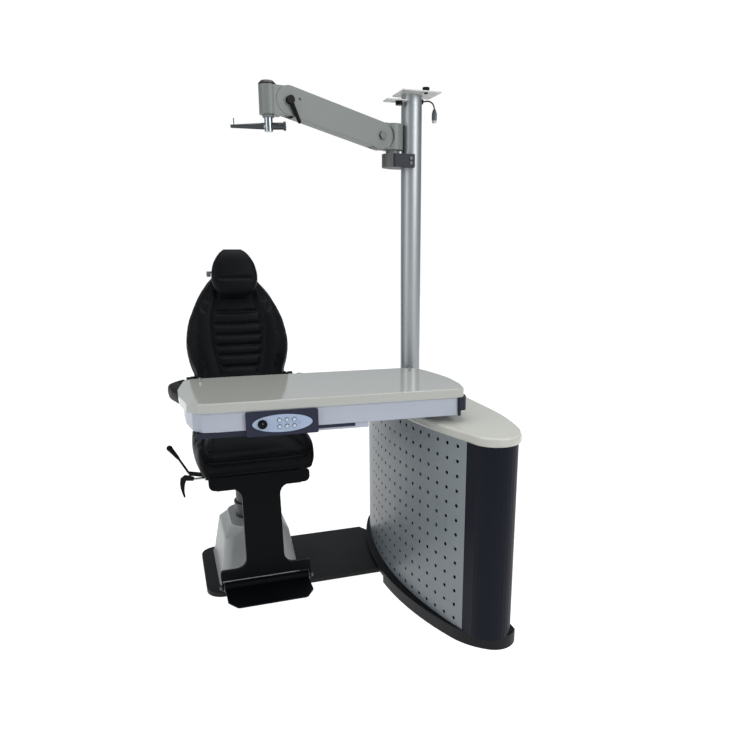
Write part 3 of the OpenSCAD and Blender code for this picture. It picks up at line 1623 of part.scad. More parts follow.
module control_knob() {
  front = face_y - face_thick - gap;
  color("black")
  at_table()
  translate([box_mid + knob_offset, 0, box_z]) {
    rod_y(knob_ring_r, front - face_thick, front);
    rod_y(knob_r, front - knob_length, front - face_thick);
    rod_y(knob_shaft_r, front - over, face_y + button_pocket - over);
    block([-face_thick / 2, front - knob_length - face_thick / 2, 0],
      [face_thick / 2, front - knob_length, knob_r * knob_mark_share]);
  }
}

module push_button(i) {
  front = face_y - face_thick - button_proud;
  color("white")
  at_table()
  translate([button_at(i)[0], 0, button_at(i)[1]]) rod_y(button_r, front, front + button_length);
}

module button_1() {
  push_button(0);
}

module button_2() {
  push_button(1);
}

module button_3() {
  push_button(2);
}

module button_4() {
  push_button(3);
}

module button_5() {
  push_button(4);
}

module button_6() {
  push_button(5);
}

// Every piece of the model, and the one to draw

base_plate();
base_pads();
pedestal_cover();
lift_column();
cabinet_plinth();
cabinet_frame();
perforated_panel();
nose_panel();
outer_panel();
cabinet_top();
pole();
arm_bracket();
bracket_screws();
projector_plates();
cable_gland();
instrument_cable();
cable_connector();
lift_tube();
seat_frame();
seat_cushion();
calf_panel();
side_brackets();
chair_pins();
footrest_plate();
back_frame();
back_cushion();
headrest_stem();
head_cushion();
armrest_bar_left();
armrest_pad_left();
armrest_bar_right();
armrest_pad_right();
recline_lever();
brake_lever();
table_top();
table_pins();
table_body();
table_hub();
end_bumper();
under_tray();
tray_strip();
control_box();
control_face();
control_knob();
button_1();
button_2();
button_3();
button_4();
button_5();
button_6();
arm_base();
arm_bolt();
arm_shell();
level_link();
head_block();
head_cap();
clamp_lever();
phoropter_holder();
knob_top();
knob_under();
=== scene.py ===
import json
import math
import bmesh
import bpy
import numpy as np
from mathutils import Matrix, Vector
from mathutils.bvhtree import BVHTree

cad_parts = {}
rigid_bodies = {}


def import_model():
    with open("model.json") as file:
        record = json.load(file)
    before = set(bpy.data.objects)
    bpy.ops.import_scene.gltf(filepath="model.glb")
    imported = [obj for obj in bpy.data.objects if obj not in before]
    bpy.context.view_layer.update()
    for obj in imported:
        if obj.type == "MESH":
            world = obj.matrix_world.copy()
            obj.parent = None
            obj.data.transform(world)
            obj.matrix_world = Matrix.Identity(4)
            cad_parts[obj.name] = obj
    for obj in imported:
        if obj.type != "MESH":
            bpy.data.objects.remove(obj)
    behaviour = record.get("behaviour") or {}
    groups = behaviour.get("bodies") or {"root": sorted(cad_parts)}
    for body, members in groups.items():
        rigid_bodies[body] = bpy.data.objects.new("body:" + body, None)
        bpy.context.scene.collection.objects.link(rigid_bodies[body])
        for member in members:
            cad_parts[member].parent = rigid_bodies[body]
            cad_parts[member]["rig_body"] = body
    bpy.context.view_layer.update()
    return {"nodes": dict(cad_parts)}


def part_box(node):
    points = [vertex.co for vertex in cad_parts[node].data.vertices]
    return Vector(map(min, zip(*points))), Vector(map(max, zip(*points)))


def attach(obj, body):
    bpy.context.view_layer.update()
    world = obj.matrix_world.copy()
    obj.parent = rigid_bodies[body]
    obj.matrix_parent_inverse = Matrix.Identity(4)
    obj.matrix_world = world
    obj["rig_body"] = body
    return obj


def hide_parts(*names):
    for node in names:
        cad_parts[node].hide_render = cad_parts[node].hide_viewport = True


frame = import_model()

# Camera
# The view of the reference picture: from the front left, a little above the table, with the
# picture's own small shift. Nothing is out of focus.
camera_place = (-0.285, -2.566, 1.277)
camera_heading, camera_pitch = 18.98, 14.35
camera_data = bpy.data.cameras.new("studio_camera")
camera_data.sensor_width = 36.0
camera_data.lens = 32.11
camera_data.shift_x, camera_data.shift_y = -0.0237, 0.0563
camera = bpy.data.objects.new("studio_camera", camera_data)
camera.location = camera_place
camera.rotation_euler = (math.radians(90 - camera_pitch), 0, math.radians(-camera_heading))
bpy.context.scene.collection.objects.link(camera)
bpy.context.scene.camera = camera

# Instrument cable
# A short round lead in a black rubber jacket. It leaves a gland near the top of the pole and
# hangs by its own weight, with a round connector on its end.
cable_route = [(0.634, -0.214, 1.762), (0.640, -0.2145, 1.7635), (0.646, -0.215, 1.7645),
               (0.652, -0.2155, 1.765), (0.658, -0.216, 1.7645), (0.6635, -0.2165, 1.7625),
               (0.668, -0.217, 1.7595), (0.6715, -0.2175, 1.7555), (0.674, -0.218, 1.7505),
               (0.6755, -0.2185, 1.745), (0.676, -0.219, 1.739)]
cable_diameter = 0.005


def linear(part):
    """One channel of a screen colour, from 0 to 255, as the renderer's linear value."""
    part = part / 255
    return part / 12.92 if part <= 0.04045 else ((part + 0.055) / 1.055) ** 2.4


def rgb(red, green, blue):
    """A colour as the eye sees it, from 0 to 255, in the renderer's linear values."""
    return (linear(red), linear(green), linear(blue), 1.0)


def finish(name, colour, roughness, metallic=0.0, mottle=0.08, mottle_scale=7.0, grain_scale=900.0,
           grain=0.00003, coat=0.0, stretch=(1.0, 1.0, 1.0), specular=0.5):
    """A surface with slightly uneven colour and gloss, and a fine raised grain."""
    material = bpy.data.materials.new(name)
    material.use_nodes = True
    nodes, links = material.node_tree.nodes, material.node_tree.links
    shader = nodes["Principled BSDF"]
    shader.inputs["Metallic"].default_value = metallic
    shader.inputs["Coat Weight"].default_value = coat
    shader.inputs["Coat Roughness"].default_value = 0.08
    shader.inputs["Specular IOR Level"].default_value = specular
    place = nodes.new("ShaderNodeTexCoord")
    turn = nodes.new("ShaderNodeMapping")
    turn.inputs["Scale"].default_value = stretch
    links.new(place.outputs["Object"], turn.inputs["Vector"])
    cloud = nodes.new("ShaderNodeTexNoise")
    cloud.inputs["Scale"].default_value = mottle_scale
    cloud.inputs["Detail"].default_value = 5.0
    links.new(turn.outputs["Vector"], cloud.inputs["Vector"])
    tint = nodes.new("ShaderNodeMix")
    tint.data_type = "RGBA"
    tint.inputs["A"].default_value = tuple(c * (1 - mottle) for c in colour[:3]) + (1.0,)
    tint.inputs["B"].default_value = tuple(min(1.0, c * (1 + mottle)) for c in colour[:3]) + (1.0,)
    links.new(cloud.outputs["Fac"], tint.inputs["Factor"])
    links.new(tint.outputs["Result"], shader.inputs["Base Color"])
    gloss = nodes.new("ShaderNodeMapRange")
    gloss.inputs["To Min"].default_value = roughness * 0.85
    gloss.inputs["To Max"].default_value = min(1.0, roughness * 1.15)
    links.new(cloud.outputs["Fac"], gloss.inputs["Value"])
    links.new(gloss.outputs["Result"], shader.inputs["Roughness"])
    speck = nodes.new("ShaderNodeTexNoise")
    speck.inputs["Scale"].default_value = grain_scale
    speck.inputs["Detail"].default_value = 2.0
    links.new(turn.outputs["Vector"], speck.inputs["Vector"])
    bump = nodes.new("ShaderNodeBump")
    bump.inputs["Strength"].default_value = 1.0
    bump.inputs["Distance"].default_value = grain
    links.new(speck.outputs["Fac"], bump.inputs["Height"])
    links.new(bump.outputs["Normal"], shader.inputs["Normal"])
    return material


def dress(node, material):
    """Gives a carried CAD piece its finish."""
    mesh = frame["nodes"][node].data
    mesh.materials.clear()
    mesh.materials.append(material)


def place_piece(name, mesh, node, slot, *materials):
    """Puts a finished mesh in the scene as the piece that stands for a CAD node, on its body."""
    piece = bpy.data.objects.new(name, mesh)
    bpy.context.scene.collection.objects.link(piece)
    for material in materials:
        mesh.materials.append(material)
    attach(piece, frame["nodes"][node]["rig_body"])
    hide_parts(node)
    return piece


weld_distance = 0.00002
flat_angle = math.radians(1.0)
crease_angle = math.radians(38)
hair_edge, bolt_edge, grip_edge, fine_edge, cast_edge = 0.0004, 0.0005, 0.0008, 0.001, 0.0012
plate_edge, pressed_edge, box_edge, shell_edge, cover_edge = 0.0015, 0.002, 0.0025, 0.003, 0.005


def merged(node):
    """A closed copy of a CAD piece's mesh with its flat faces joined up."""
    shape = bmesh.new()
    shape.from_mesh(frame["nodes"][node].data)
    bmesh.ops.remove_doubles(shape, verts=shape.verts, dist=weld_distance)
    bmesh.ops.dissolve_limit(shape, angle_limit=flat_angle, verts=shape.verts, edges=shape.edges)
    return shape


def smooth_faces(shape, name):
    """The mesh of a finished shape, smooth but for its real creases."""
    mesh = bpy.data.meshes.new(name)
    for face in shape.faces:
        face.smooth = True
    for edge in shape.edges:
        edge.smooth = not edge.is_manifold or edge.calc_face_angle() < crease_angle
    shape.to_mesh(mesh)
    shape.free()
    return mesh


def even_shading(piece):
    """Large flat faces keep flat light up to the round of their edges."""
    shade = piece.modifiers.new("even_shading", "WEIGHTED_NORMAL")
    shade.keep_sharp = True
    return piece


def rounded_copy(node, name, width, slot, *materials, segments=3, edges=None, second=None,
                 seam=None):
    """A CAD piece with rounded corners. Faces that second picks take the second finish, and so
    does all that lies left of the seam, an x where the faces are parted."""
    shape = merged(node)
    sharp = [e for e in shape.edges if e.is_manifold and e.calc_face_angle() > crease_angle
             and (edges is None or edges(e))]
    bmesh.ops.bevel(shape, geom=sharp, offset=width, offset_type="OFFSET", segments=segments,
                    profile=0.5, affect="EDGES", clamp_overlap=True, material=-1)
    if seam is not None:
        whole = shape.verts[:] + shape.edges[:] + shape.faces[:]
        bmesh.ops.bisect_plane(shape, geom=whole, plane_co=(seam, 0, 0), plane_no=(1, 0, 0))
    for face in shape.faces:
        middle = face.calc_center_median()
        beyond = seam is not None and middle.x < seam
        face.material_index = 1 if beyond or (second and second(middle)) else 0
    piece = place_piece(name, smooth_faces(shape, name), node, slot, *materials)
    return even_shading(piece)


rubber = finish("black_rubber", rgb(26, 26, 27), 0.75, grain_scale=600, grain=0.00008, specular=0.3)
connector_grey = finish("connector_grey", rgb(86, 90, 96), 0.4, metallic=0.4)
bright_chrome = finish("bright_chrome", rgb(158, 164, 166), 0.2, metallic=1.0, mottle=0.03)
nose_height = 1.7045
connector = rounded_copy("cable_connector", "round_connector", hair_edge, "black_plastic",
                         connector_grey, bright_chrome, second=lambda p: p[2] < nose_height)
dress("cable_gland", rubber)
line = bpy.data.curves.new("cable_line", "CURVE")
line.dimensions = "3D"
line.bevel_depth = cable_diameter / 2
line.bevel_resolution = 6
line.use_fill_caps = True
spline = line.splines.new("POLY")
spline.points.add(len(cable_route) - 1)
for point, spot in zip(spline.points, cable_route):
    point.co = spot + (1.0,)
cable = bpy.data.objects.new("rubber_cable", line)
bpy.context.scene.collection.objects.link(cable)
line.materials.append(rubber)
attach(cable, "base")
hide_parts("instrument_cable")

# Base plate and its pads
# A single thick steel plate, powder coated charcoal, that carries the chair column and the
# cabinet. Round rubber pads under it keep it off the floor.
charcoal = finish("charcoal_powder_coat", rgb(25, 27, 26), 0.55, specular=0.25, mottle=0.12,
                  grain_scale=700, grain=0.00006)
rounded_copy("base_plate", "steel_base_plate", pressed_edge, "charcoal_paint", charcoal)
dress("base_pads", rubber)

# Pedestal cover and lift column
# A light grey moulded bell hides the foot of the lift. It steps in half way up, and a painted
# column with a collar stands out of it. The inner tube, in the same paint, slides in the column.
abs_grey = finish("grey_moulded_cover", rgb(188, 190, 186), 0.4, mottle=0.05, grain_scale=500,
                  grain=0.00003)
olive = finish("olive_grey_paint", rgb(42, 44, 40), 0.42, mottle=0.08)
rounded_copy("pedestal_cover", "moulded_pedestal_cover", cover_edge, "grey_shell", abs_grey,
             segments=4)
dress("lift_column", olive)
dress("lift_tube", olive)

# Seat frame, calf panel and footrest
# Welded rectangular tube and bent plate in black paint. The calf panel hangs from the front of
# the frame and carries the footrest on a pin with washers.
black_paint = finish("black_satin_paint", rgb(10, 12, 15), 0.45, mottle=0.1, grain_scale=650,
                     grain=0.00005, specular=0.08)
dark_steel = finish("dark_bright_plate", rgb(52, 56, 64), 0.38, mottle=0.08)
rounded_copy("seat_frame", "welded_seat_frame", cast_edge, "black_paint", black_paint)
rounded_copy("calf_panel", "bent_calf_panel", pressed_edge, "black_paint", black_paint)
rounded_copy("footrest_plate", "folding_footrest", plate_edge, "black_paint", black_paint)
rounded_copy("side_brackets", "hinge_side_plates", plate_edge, "steel", dark_steel)
zinc = finish("zinc_plated_bolt", rgb(96, 98, 100), 0.4, metallic=0.9, mottle=0.05)
dress("chair_pins", zinc)

# Seat cushion
# Moulded foam on a board, in black leather with raised bolsters at the sides. A seam runs round
# the flat middle and another along the front edge, and the leather is drawn in at both.
hinge = Vector((0.0, 0.165, 0.524))
back_lean = math.radians(8.5)


def leather_finish(name, colour, roughness):
    """Soft black hide: fine pebbled grain, faint wrinkles, and gloss that wanders."""
    material = finish(name, colour, roughness, mottle=0.25, mottle_scale=11.0, grain=0.00001,
                      specular=0.1)
    nodes, links = material.node_tree.nodes, material.node_tree.links
    shader = nodes["Principled BSDF"]
    place = nodes.new("ShaderNodeTexCoord")
    pebbles = nodes.new("ShaderNodeTexVoronoi")
    pebbles.feature = "SMOOTH_F1"
    pebbles.inputs["Scale"].default_value = 520.0
    pebbles.inputs["Smoothness"].default_value = 0.6
    links.new(place.outputs["Object"], pebbles.inputs["Vector"])
    wrinkles = nodes.new("ShaderNodeTexNoise")
    wrinkles.inputs["Scale"].default_value = 34.0
    wrinkles.inputs["Detail"].default_value = 6.0
    wrinkles.inputs["Distortion"].default_value = 1.4
    links.new(place.outputs["Object"], wrinkles.inputs["Vector"])
    soft = nodes.new("ShaderNodeBump")
    soft.inputs["Strength"].default_value = 0.7
    soft.inputs["Distance"].default_value = 0.0012
    links.new(wrinkles.outputs["Fac"], soft.inputs["Height"])
    hide = nodes.new("ShaderNodeBump")
    hide.inputs["Strength"].default_value = 0.55
    hide.inputs["Distance"].default_value = 0.0003
    hide.invert = True
    links.new(pebbles.outputs["Distance"], hide.inputs["Height"])
    links.new(soft.outputs["Normal"], hide.inputs["Normal"])
    links.new(hide.outputs["Normal"], shader.inputs["Normal"])
    shader.inputs["Sheen Weight"].default_value = 0.02
    shader.inputs["Sheen Roughness"].default_value = 0.5
    return material


def coordinates(mesh):
    """Every corner of a mesh as rows of x, y and z."""
    spots = np.empty(len(mesh.vertices) * 3)
    mesh.vertices.foreach_get("co", spots)
    return spots.reshape(-1, 3)


def directions(mesh):
    """The outward direction at every corner of a mesh."""
    ways = np.empty(len(mesh.vertices) * 3)
    mesh.vertex_normals.foreach_get("vector", ways)
    return ways.reshape(-1, 3)


def settled(piece, name):
    """The piece's mesh with its modifiers applied."""
    graph = bpy.context.evaluated_depsgraph_get()
    graph.update()
    mesh = bpy.data.meshes.new_from_object(piece.evaluated_get(graph))
    mesh.name = name
    piece.modifiers.clear()
    old = piece.data
    piece.data = mesh
    bpy.data.meshes.remove(old)
    return mesh


smoothing_turns, filling_moments = 10, 20
pressure = 4.0


def filled_cover(node, name, draw_in, held, cap, voxel=0.006):
    """Foam in a sewn cover: the CAD form, drawn in, then blown up where it isn't held. No point
    moves further than cap."""
    shape = merged(node)
    bmesh.ops.triangulate(shape, faces=shape.faces)
    mesh = bpy.data.meshes.new(name)
    shape.to_mesh(mesh)
    shape.free()
    piece = bpy.data.objects.new(name, mesh)
    bpy.context.scene.collection.objects.link(piece)
    remesh = piece.modifiers.new("even_cloth", "REMESH")
    remesh.mode = "VOXEL"
    remesh.voxel_size = voxel
    mesh = settled(piece, name)
    shape = bmesh.new()
    shape.from_mesh(mesh)
    loose = [v for v in shape.verts if not held(v.co)]
    for turn in range(smoothing_turns):
        bmesh.ops.smooth_vert(shape, verts=loose, factor=0.5, use_axis_x=True, use_axis_y=True,
                              use_axis_z=True)
    shape.to_mesh(mesh)
    shape.free()
    seated = np.array([bool(held(spot)) for spot in coordinates(mesh)])
    start = coordinates(mesh) - draw_in * directions(mesh) * ~seated[:, None]
    mesh.vertices.foreach_set("co", start.ravel())
    mesh.update()
    pins = piece.vertex_groups.new(name="held")
    pins.add([int(i) for i in np.flatnonzero(seated)], 1.0, "REPLACE")
    cloth = piece.modifiers.new("filling", "CLOTH")
    cloth.settings.quality = 5
    cloth.settings.mass = 0.4
    cloth.settings.tension_stiffness = cloth.settings.compression_stiffness = 20
    cloth.settings.bending_stiffness = 1.2
    cloth.settings.use_pressure = True
    cloth.settings.uniform_pressure_force = pressure
    cloth.settings.vertex_group_mass = "held"
    cloth.settings.effector_weights.gravity = 0
    for moment in range(1, filling_moments + 1):
        bpy.context.scene.frame_set(moment)
    graph = bpy.context.evaluated_depsgraph_get()
    blown = coordinates(piece.evaluated_get(graph).data)
    bpy.context.scene.frame_set(1)
    piece.modifiers.clear()
    move = blown - start
    reach = np.maximum(np.linalg.norm(move, axis=1, keepdims=True), 1e-9)
    mesh.vertices.foreach_set("co", (start + move * np.minimum(1.0, cap / reach)).ravel())
    mesh.update()
    finer = piece.modifiers.new("finer_cover", "SUBSURF")
    finer.levels = finer.render_levels = 1
    mesh = settled(piece, name)
    for face in mesh.polygons:
        face.use_smooth = True
    return piece


def distance_to(spots, route):
    """How far each flat point lies from a bent line."""
    nearest = np.full(len(spots), 1e9)
    for a, b in zip(route, route[1:]):
        a, b = np.array(a), np.array(b)
        along = np.clip(((spots - a) @ (b - a)) / ((b - a) @ (b - a)), 0, 1)[:, None]
        nearest = np.minimum(nearest, np.linalg.norm(spots - a - along * (b - a), axis=1))
    return nearest


turned_away, turning_band = 0.05, 0.3


def sew(piece, flatten, facing, seams):
    """Draws a cover in along its seams. A seam is a line, how deep it pulls and how wide."""
    mesh = piece.data
    spots, ways = coordinates(mesh), directions(mesh)
    plan = flatten(spots)
    front = np.clip((ways @ np.array(facing) - turned_away) / turning_band, 0, 1)
    pull = np.zeros(len(spots))
    for route, depth, width in seams:
        away = distance_to(plan, route)
        pull = np.maximum(pull, depth * np.exp(-(away / width) ** 2))
    mesh.vertices.foreach_set("co", (spots - np.array(facing) * (pull * front)[:, None]).ravel())
    mesh.update()


stitch_pitch, stitch_reach, stitch_half, stitch_rise = 0.006, 0.00216, 0.0008, 0.00056
above_cover = 0.2


def stitch_row(name, piece, lift, facing, routes, body, material):
    """A row of thread stitches laid on a cover along each route, as one mesh."""
    tree = BVHTree.FromObject(piece, bpy.context.evaluated_depsgraph_get())
    shape = bmesh.new()
    facing = Vector(facing)
    for route in routes:
        points = [Vector(lift(p)) for p in route]
        for a, b in zip(points, points[1:]):
            count = max(1, int((b - a).length / stitch_pitch))
            for i in range(count):
                spot = a.lerp(b, (i + 0.5) / count)
                hit, way = tree.ray_cast(spot + facing * above_cover, -facing)[:2]
                if hit is None:
                    continue
                along = (b - a).normalized()
                side = way.cross(along).normalized()
                basis = Matrix((along, side, way)).transposed().to_4x4()
                basis.translation = hit
                grown = Matrix.Diagonal((stitch_reach, stitch_half, stitch_rise, 1.0))
                bmesh.ops.create_icosphere(shape, subdivisions=1, radius=1.0,
                                           matrix=basis @ grown)
    mesh = bpy.data.meshes.new(name)
    for face in shape.faces:
        face.smooth = True
    shape.to_mesh(mesh)
    shape.free()
    row = bpy.data.objects.new(name, mesh)
    bpy.context.scene.collection.objects.link(row)
    mesh.materials.append(material)
    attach(row, body)
    return row


black_leather = leather_finish("black_leather", rgb(12, 13, 15), 0.46)
black_thread = finish("black_thread", rgb(24, 24, 27), 0.6, grain_scale=1500)
seat_half, seat_front, seat_rear = 0.215, 0.293, 0.118
seat_board_top, above_seat = 0.503, 0.6
seam_pull, seam_width, front_pull, stitch_offset = 0.006, 0.007, 0.005, 0.006
bolster_shares = [(0.07, 0.835), (0.15, 0.80), (0.5, 0.68), (0.85, 0.62), (0.99, 0.6)]
front_bend = 0.09
front_end_y, front_middle_y = -0.2642, -0.270


def seat_line(way, offset=0.0):
    """The seam between the middle of the seat and one bolster, from front to rear."""
    return [(way * (seat_half * across + offset), -seat_front + along * (seat_front + seat_rear))
            for along, across in bolster_shares]


seat = filled_cover("seat_cushion", "leather_seat_cushion", 0.003,
                    lambda p: p[2] < seat_board_top, 0.006)
front_half = seat_half * bolster_shares[0][1]
front_line = [(-front_half, front_end_y), (-front_bend, front_middle_y),
              (front_bend, front_middle_y), (front_half, front_end_y)]
sew(seat, lambda p: p[:, :2], (0, 0, 1),
    [(seat_line(-1), seam_pull, seam_width), (seat_line(1), seam_pull, seam_width),
     (front_line, front_pull, seam_width)])
seat.data.materials.append(black_leather)
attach(seat, "seat")
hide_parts("seat_cushion")
stitch_row("seat_stitches", seat, lambda p: (p[0], p[1], above_seat), (0, 0, 1),
           [seat_line(-1, -stitch_offset), seat_line(1, -stitch_offset),
            [(x, y + stitch_offset) for x, y in front_line]],
           "seat", black_thread)

# Backrest
# A moulded shell with a leather cushion on it: two tall side bolsters and a middle panel sewn
# into cross ribs. It turns on the hinge bolts of the side plates.
back_foot, back_length, back_half = 0.112, 0.524, 0.208
back_widths = [(0, 0.8), (0.1, 0.86), (0.286, 0.87), (0.34, 0.94), (0.42, 0.985), (0.483, 1),
               (0.58, 0.975), (0.676, 0.918), (0.77, 0.82), (0.853, 0.71), (0.92, 0.6), (1, 0.42)]
panel_widths = [(0, 0.36), (0.29, 0.385), (0.72, 0.5), (0.8, 0.48), (1, 0.5)]
panel_low, panel_high, panel_steps = 0.27, 0.86, 24
panel_pull = 0.007
rib_shares = [0.319, 0.406, 0.481, 0.559, 0.639, 0.735]
rib_pull, rib_width, rib_gap, rib_sag = 0.008, 0.009, 0.004, 0.002
back_board = 0.002
across = Vector((1, 0, 0))
up_back = Vector((0, math.sin(back_lean), math.cos(back_lean)))
out_of_back = Vector((0, -math.cos(back_lean), math.sin(back_lean)))


def share(table, at):
    """A value read between the rows of a table of shares."""
    return float(np.interp(at, [row[0] for row in table], [row[1] for row in table]))


def on_back(spots):
    """Points flattened on the backrest: across it, and up it from the hinge."""
    return np.stack([spots[:, 0], (spots - np.array(hinge)) @ np.array(up_back)], axis=1)


def off_back(point):
    """A point of the backrest's plan, back in the frame."""
    return hinge + across * point[0] + up_back * point[1]


def panel_half(v):
    """Half the width of the ribbed panel at a share of the backrest's height."""
    return back_half * share(back_widths, v) * share(panel_widths, v)


def panel_line(way, offset=0.0):
    """The seam beside the ribbed panel, from its foot to the shoulder."""
    steps = [panel_low + (panel_high - panel_low) * i / panel_steps for i in range(panel_steps + 1)]
    return [(way * (panel_half(v) + offset), back_foot + v * back_length) for v in steps]


def rib_line(v):
    """A sewn channel across the panel."""
    half = panel_half(v) - rib_gap
    height = back_foot + v * back_length
    return [(-half, height), (0, height - rib_sag), (half, height)]


shell_plastic = finish("black_shell_plastic", rgb(12, 13, 15), 0.5, specular=0.12,
                       grain_scale=450, grain=0.00012)
rounded_copy("back_frame", "moulded_back_shell", shell_edge, "black_plastic", shell_plastic)
back = filled_cover("back_cushion", "leather_back_cushion", 0.003,
                    lambda p: (Vector(p) - hinge).dot(out_of_back) < back_board, 0.006)
sew(back, on_back, tuple(out_of_back),
    [(panel_line(way), panel_pull, seam_width) for way in (-1, 1)]
    + [(rib_line(v), rib_pull, rib_width) for v in rib_shares])
back.data.materials.append(black_leather)
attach(back, "back")
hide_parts("back_cushion")
stitch_row("back_stitches", back, off_back, tuple(out_of_back),
           [panel_line(way, stitch_offset) for way in (-1, 1)],
           "back", black_thread)

# Headrest
# A domed pad on a flat steel stem that slides in the back shell. A cross seam folds its face,
# and a small grey clip sits beside the stem.
stem_steel = finish("grey_stem_steel", rgb(120, 124, 126), 0.4, metallic=0.4)
rounded_copy("headrest_stem", "steel_headrest_stem", fine_edge, "steel", stem_steel)
head_foot, head_height, head_board = 0.551, 0.189, 0.066
fold_half, fold_end, fold_middle = 0.058, 0.384, 0.38
head = filled_cover("head_cushion", "leather_head_cushion", 0.002,
                    lambda p: (Vector(p) - hinge).dot(out_of_back) < head_board, 0.004,
                    voxel=0.005)
fold = [(across_fold, head_foot + up_fold * head_height)
        for across_fold, up_fold in [(-fold_half, fold_end), (0, fold_middle), (fold_half, fold_end)]]
sew(head, on_back, tuple(out_of_back), [(fold, seam_pull, seam_width)])
head.data.materials.append(black_leather)
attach(head, "headrest")
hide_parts("head_cushion")

# Armrests
# Flat steel bars that turn on pins at the back shell, each with a long moulded pad screwed on
# from below and covered in the same leather.
pad_board = 0.004
dress("armrest_bar_left", black_paint)
dress("armrest_bar_right", black_paint)
for side in ("left", "right"):
    node = "armrest_pad_" + side
    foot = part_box(node)[0][2] + pad_board
    pad = filled_cover(node, "leather_armrest_" + side, 0.0015, lambda p: p[2] < foot, 0.002,
                       voxel=0.005)
    pad.data.materials.append(black_leather)
    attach(pad, "armrest_" + side[0])
    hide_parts(node)

# Levers beside the seat
# A black recline lever with a moulded grip, and a bright rod with a black hooked handle that
# lets the seat turn. Each is bolted to a lug of the seat frame.
grip_black = finish("moulded_grip_black", rgb(11, 11, 13), 0.38, grain_scale=400, grain=0.00005,
                    specular=0.12)
bright_steel = finish("ground_steel", rgb(168, 170, 172), 0.28, metallic=1.0, mottle=0.05,
                      grain_scale=300, grain=0.00001, stretch=(1.0, 1.0, 0.05))
hook_start = -0.224
rounded_copy("recline_lever", "recline_lever_grip", grip_edge, "black_plastic", grip_black)
rounded_copy("brake_lever", "hooked_brake_lever", fine_edge, "black_plastic", grip_black,
             bright_steel, second=lambda p: p[0] > hook_start)

# Cabinet
# A leaf-shaped cabinet on a dark plinth: a perforated sheet on the patient's side, a plain one
# on the other, a navy rounded nose between them and a thick moulded top with a rounded rim. The
# sheet's inner face and the walls of its holes are near black: painted shade for the dark inside
# the cabinet.
cabinet_grey = finish("cabinet_mid_grey", rgb(138, 145, 148), 0.38, mottle=0.05, grain_scale=800,
                      grain=0.00003)
nose_navy = finish("nose_navy", rgb(18, 21, 33), 0.42, specular=0.12, mottle=0.08,
                   grain_scale=800, grain=0.00003)
plinth_dark = finish("plinth_charcoal", rgb(15, 16, 20), 0.5, specular=0.22, grain_scale=500,
                     grain=0.00006)
slab_beige = finish("beige_grey_slab", rgb(206, 205, 194), 0.24, mottle=0.03, mottle_scale=4.0,
                    grain_scale=260, grain=0.000015, coat=0.2)
plate_level, slab_edge = 0.022, 0.008
arc_centre, pole_axis = Vector((2.035, -0.258)), Vector((0.596, -0.205))
facing_out, edge_band, level_band, pole_opening = 0.5, 0.0005, 0.001, 0.045
rounded_copy("cabinet_plinth", "pressed_cabinet_plinth", pressed_edge, "charcoal_paint",
             plinth_dark, edges=lambda e: all(v.co.z > plate_level for v in e.verts))
dress("cabinet_frame", charcoal)
dress("perforated_panel", cabinet_grey)
# Painted shade: faces that don't face out, the sheet's inner face and the hole walls, are near black.
painted_shade_inside = finish("painted_shade_cabinet_inside", rgb(9, 10, 12), 0.8, specular=0.05)
panel = frame["nodes"]["perforated_panel"].data
panel.materials.append(painted_shade_inside)
for face in panel.polygons:
    outward = (face.center.xy - arc_centre).normalized()
    face.material_index = 0 if outward.dot(face.normal.xy) > facing_out else 1
dress("nose_panel", nose_navy)
dress("outer_panel", cabinet_grey)
slab_low, slab_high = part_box("cabinet_top")[0][2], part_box("cabinet_top")[1][2]


def slab_rim(edge):
    """Whether an edge of the slab runs round its upper or lower face, clear of the pole."""
    low, high = sorted(v.co.z for v in edge.verts)
    return (high - low < level_band
            and (low > slab_high - edge_band or high < slab_low + edge_band)
            and min((v.co.xy - pole_axis).length for v in edge.verts) > pole_opening)


rounded_copy("cabinet_top", "moulded_cabinet_top", slab_edge, "beige_slab", slab_beige, segments=5,
             edges=slab_rim)

# Pole
# One length of drawn aluminium tube with brushed skin, bolted down inside the cabinet.
brushed = finish("brushed_aluminium", rgb(168, 172, 174), 0.42, metallic=1.0, mottle=0.04,
                 mottle_scale=60.0, grain_scale=900, grain=0.00002, stretch=(1.0, 1.0, 0.02))
dress("pole", brushed)

# Instrument arm and its bracket
# A navy bracket clamps the pole with two cap screws and has a light end plate. The arm is a
# painted casting in three parts with a hexagon bolt, a clamp lever and a spindle for the head.
arm_grey = finish("arm_warm_grey", rgb(126, 131, 126), 0.42, mottle=0.04, grain_scale=700,
                  grain=0.00004)
bracket_navy = finish("bracket_navy", rgb(30, 31, 42), 0.4, specular=0.3, grain_scale=700,
                      grain=0.00004)
end_grey = finish("bracket_end_grey", rgb(92, 91, 87), 0.42)
gunmetal = finish("dark_cross_bar", rgb(66, 70, 72), 0.34, metallic=0.6, mottle=0.08)
cap_black = finish("black_cap", rgb(14, 15, 16), 0.36, specular=0.3, mottle=0.05)
bracket_end = 0.512
small_hole_chord = 0.0015
rounded_copy("arm_bracket", "clamped_pole_bracket", cast_edge, "navy_paint", bracket_navy,
             end_grey, second=lambda p: p[0] < bracket_end)
dress("bracket_screws", zinc)
rounded_copy("arm_base", "cast_arm_base", cast_edge, "arm_grey", arm_grey)
rounded_copy("arm_shell", "cast_arm_shell", cast_edge, "arm_grey", arm_grey,
             edges=lambda e: e.calc_length() > small_hole_chord)
rounded_copy("head_block", "cast_head_block", cast_edge, "arm_grey", arm_grey)
rounded_copy("arm_bolt", "hexagon_tilt_bolt", bolt_edge, "steel", zinc)
dress("level_link", gunmetal)
rounded_copy("head_cap", "black_head_cap", fine_edge, "black_plastic", cap_black)
rounded_copy("clamp_lever", "black_clamp_lever", fine_edge, "black_plastic", grip_black)
holder_axis, holder_radius = Vector((0.0811, -0.3067)), 0.0165
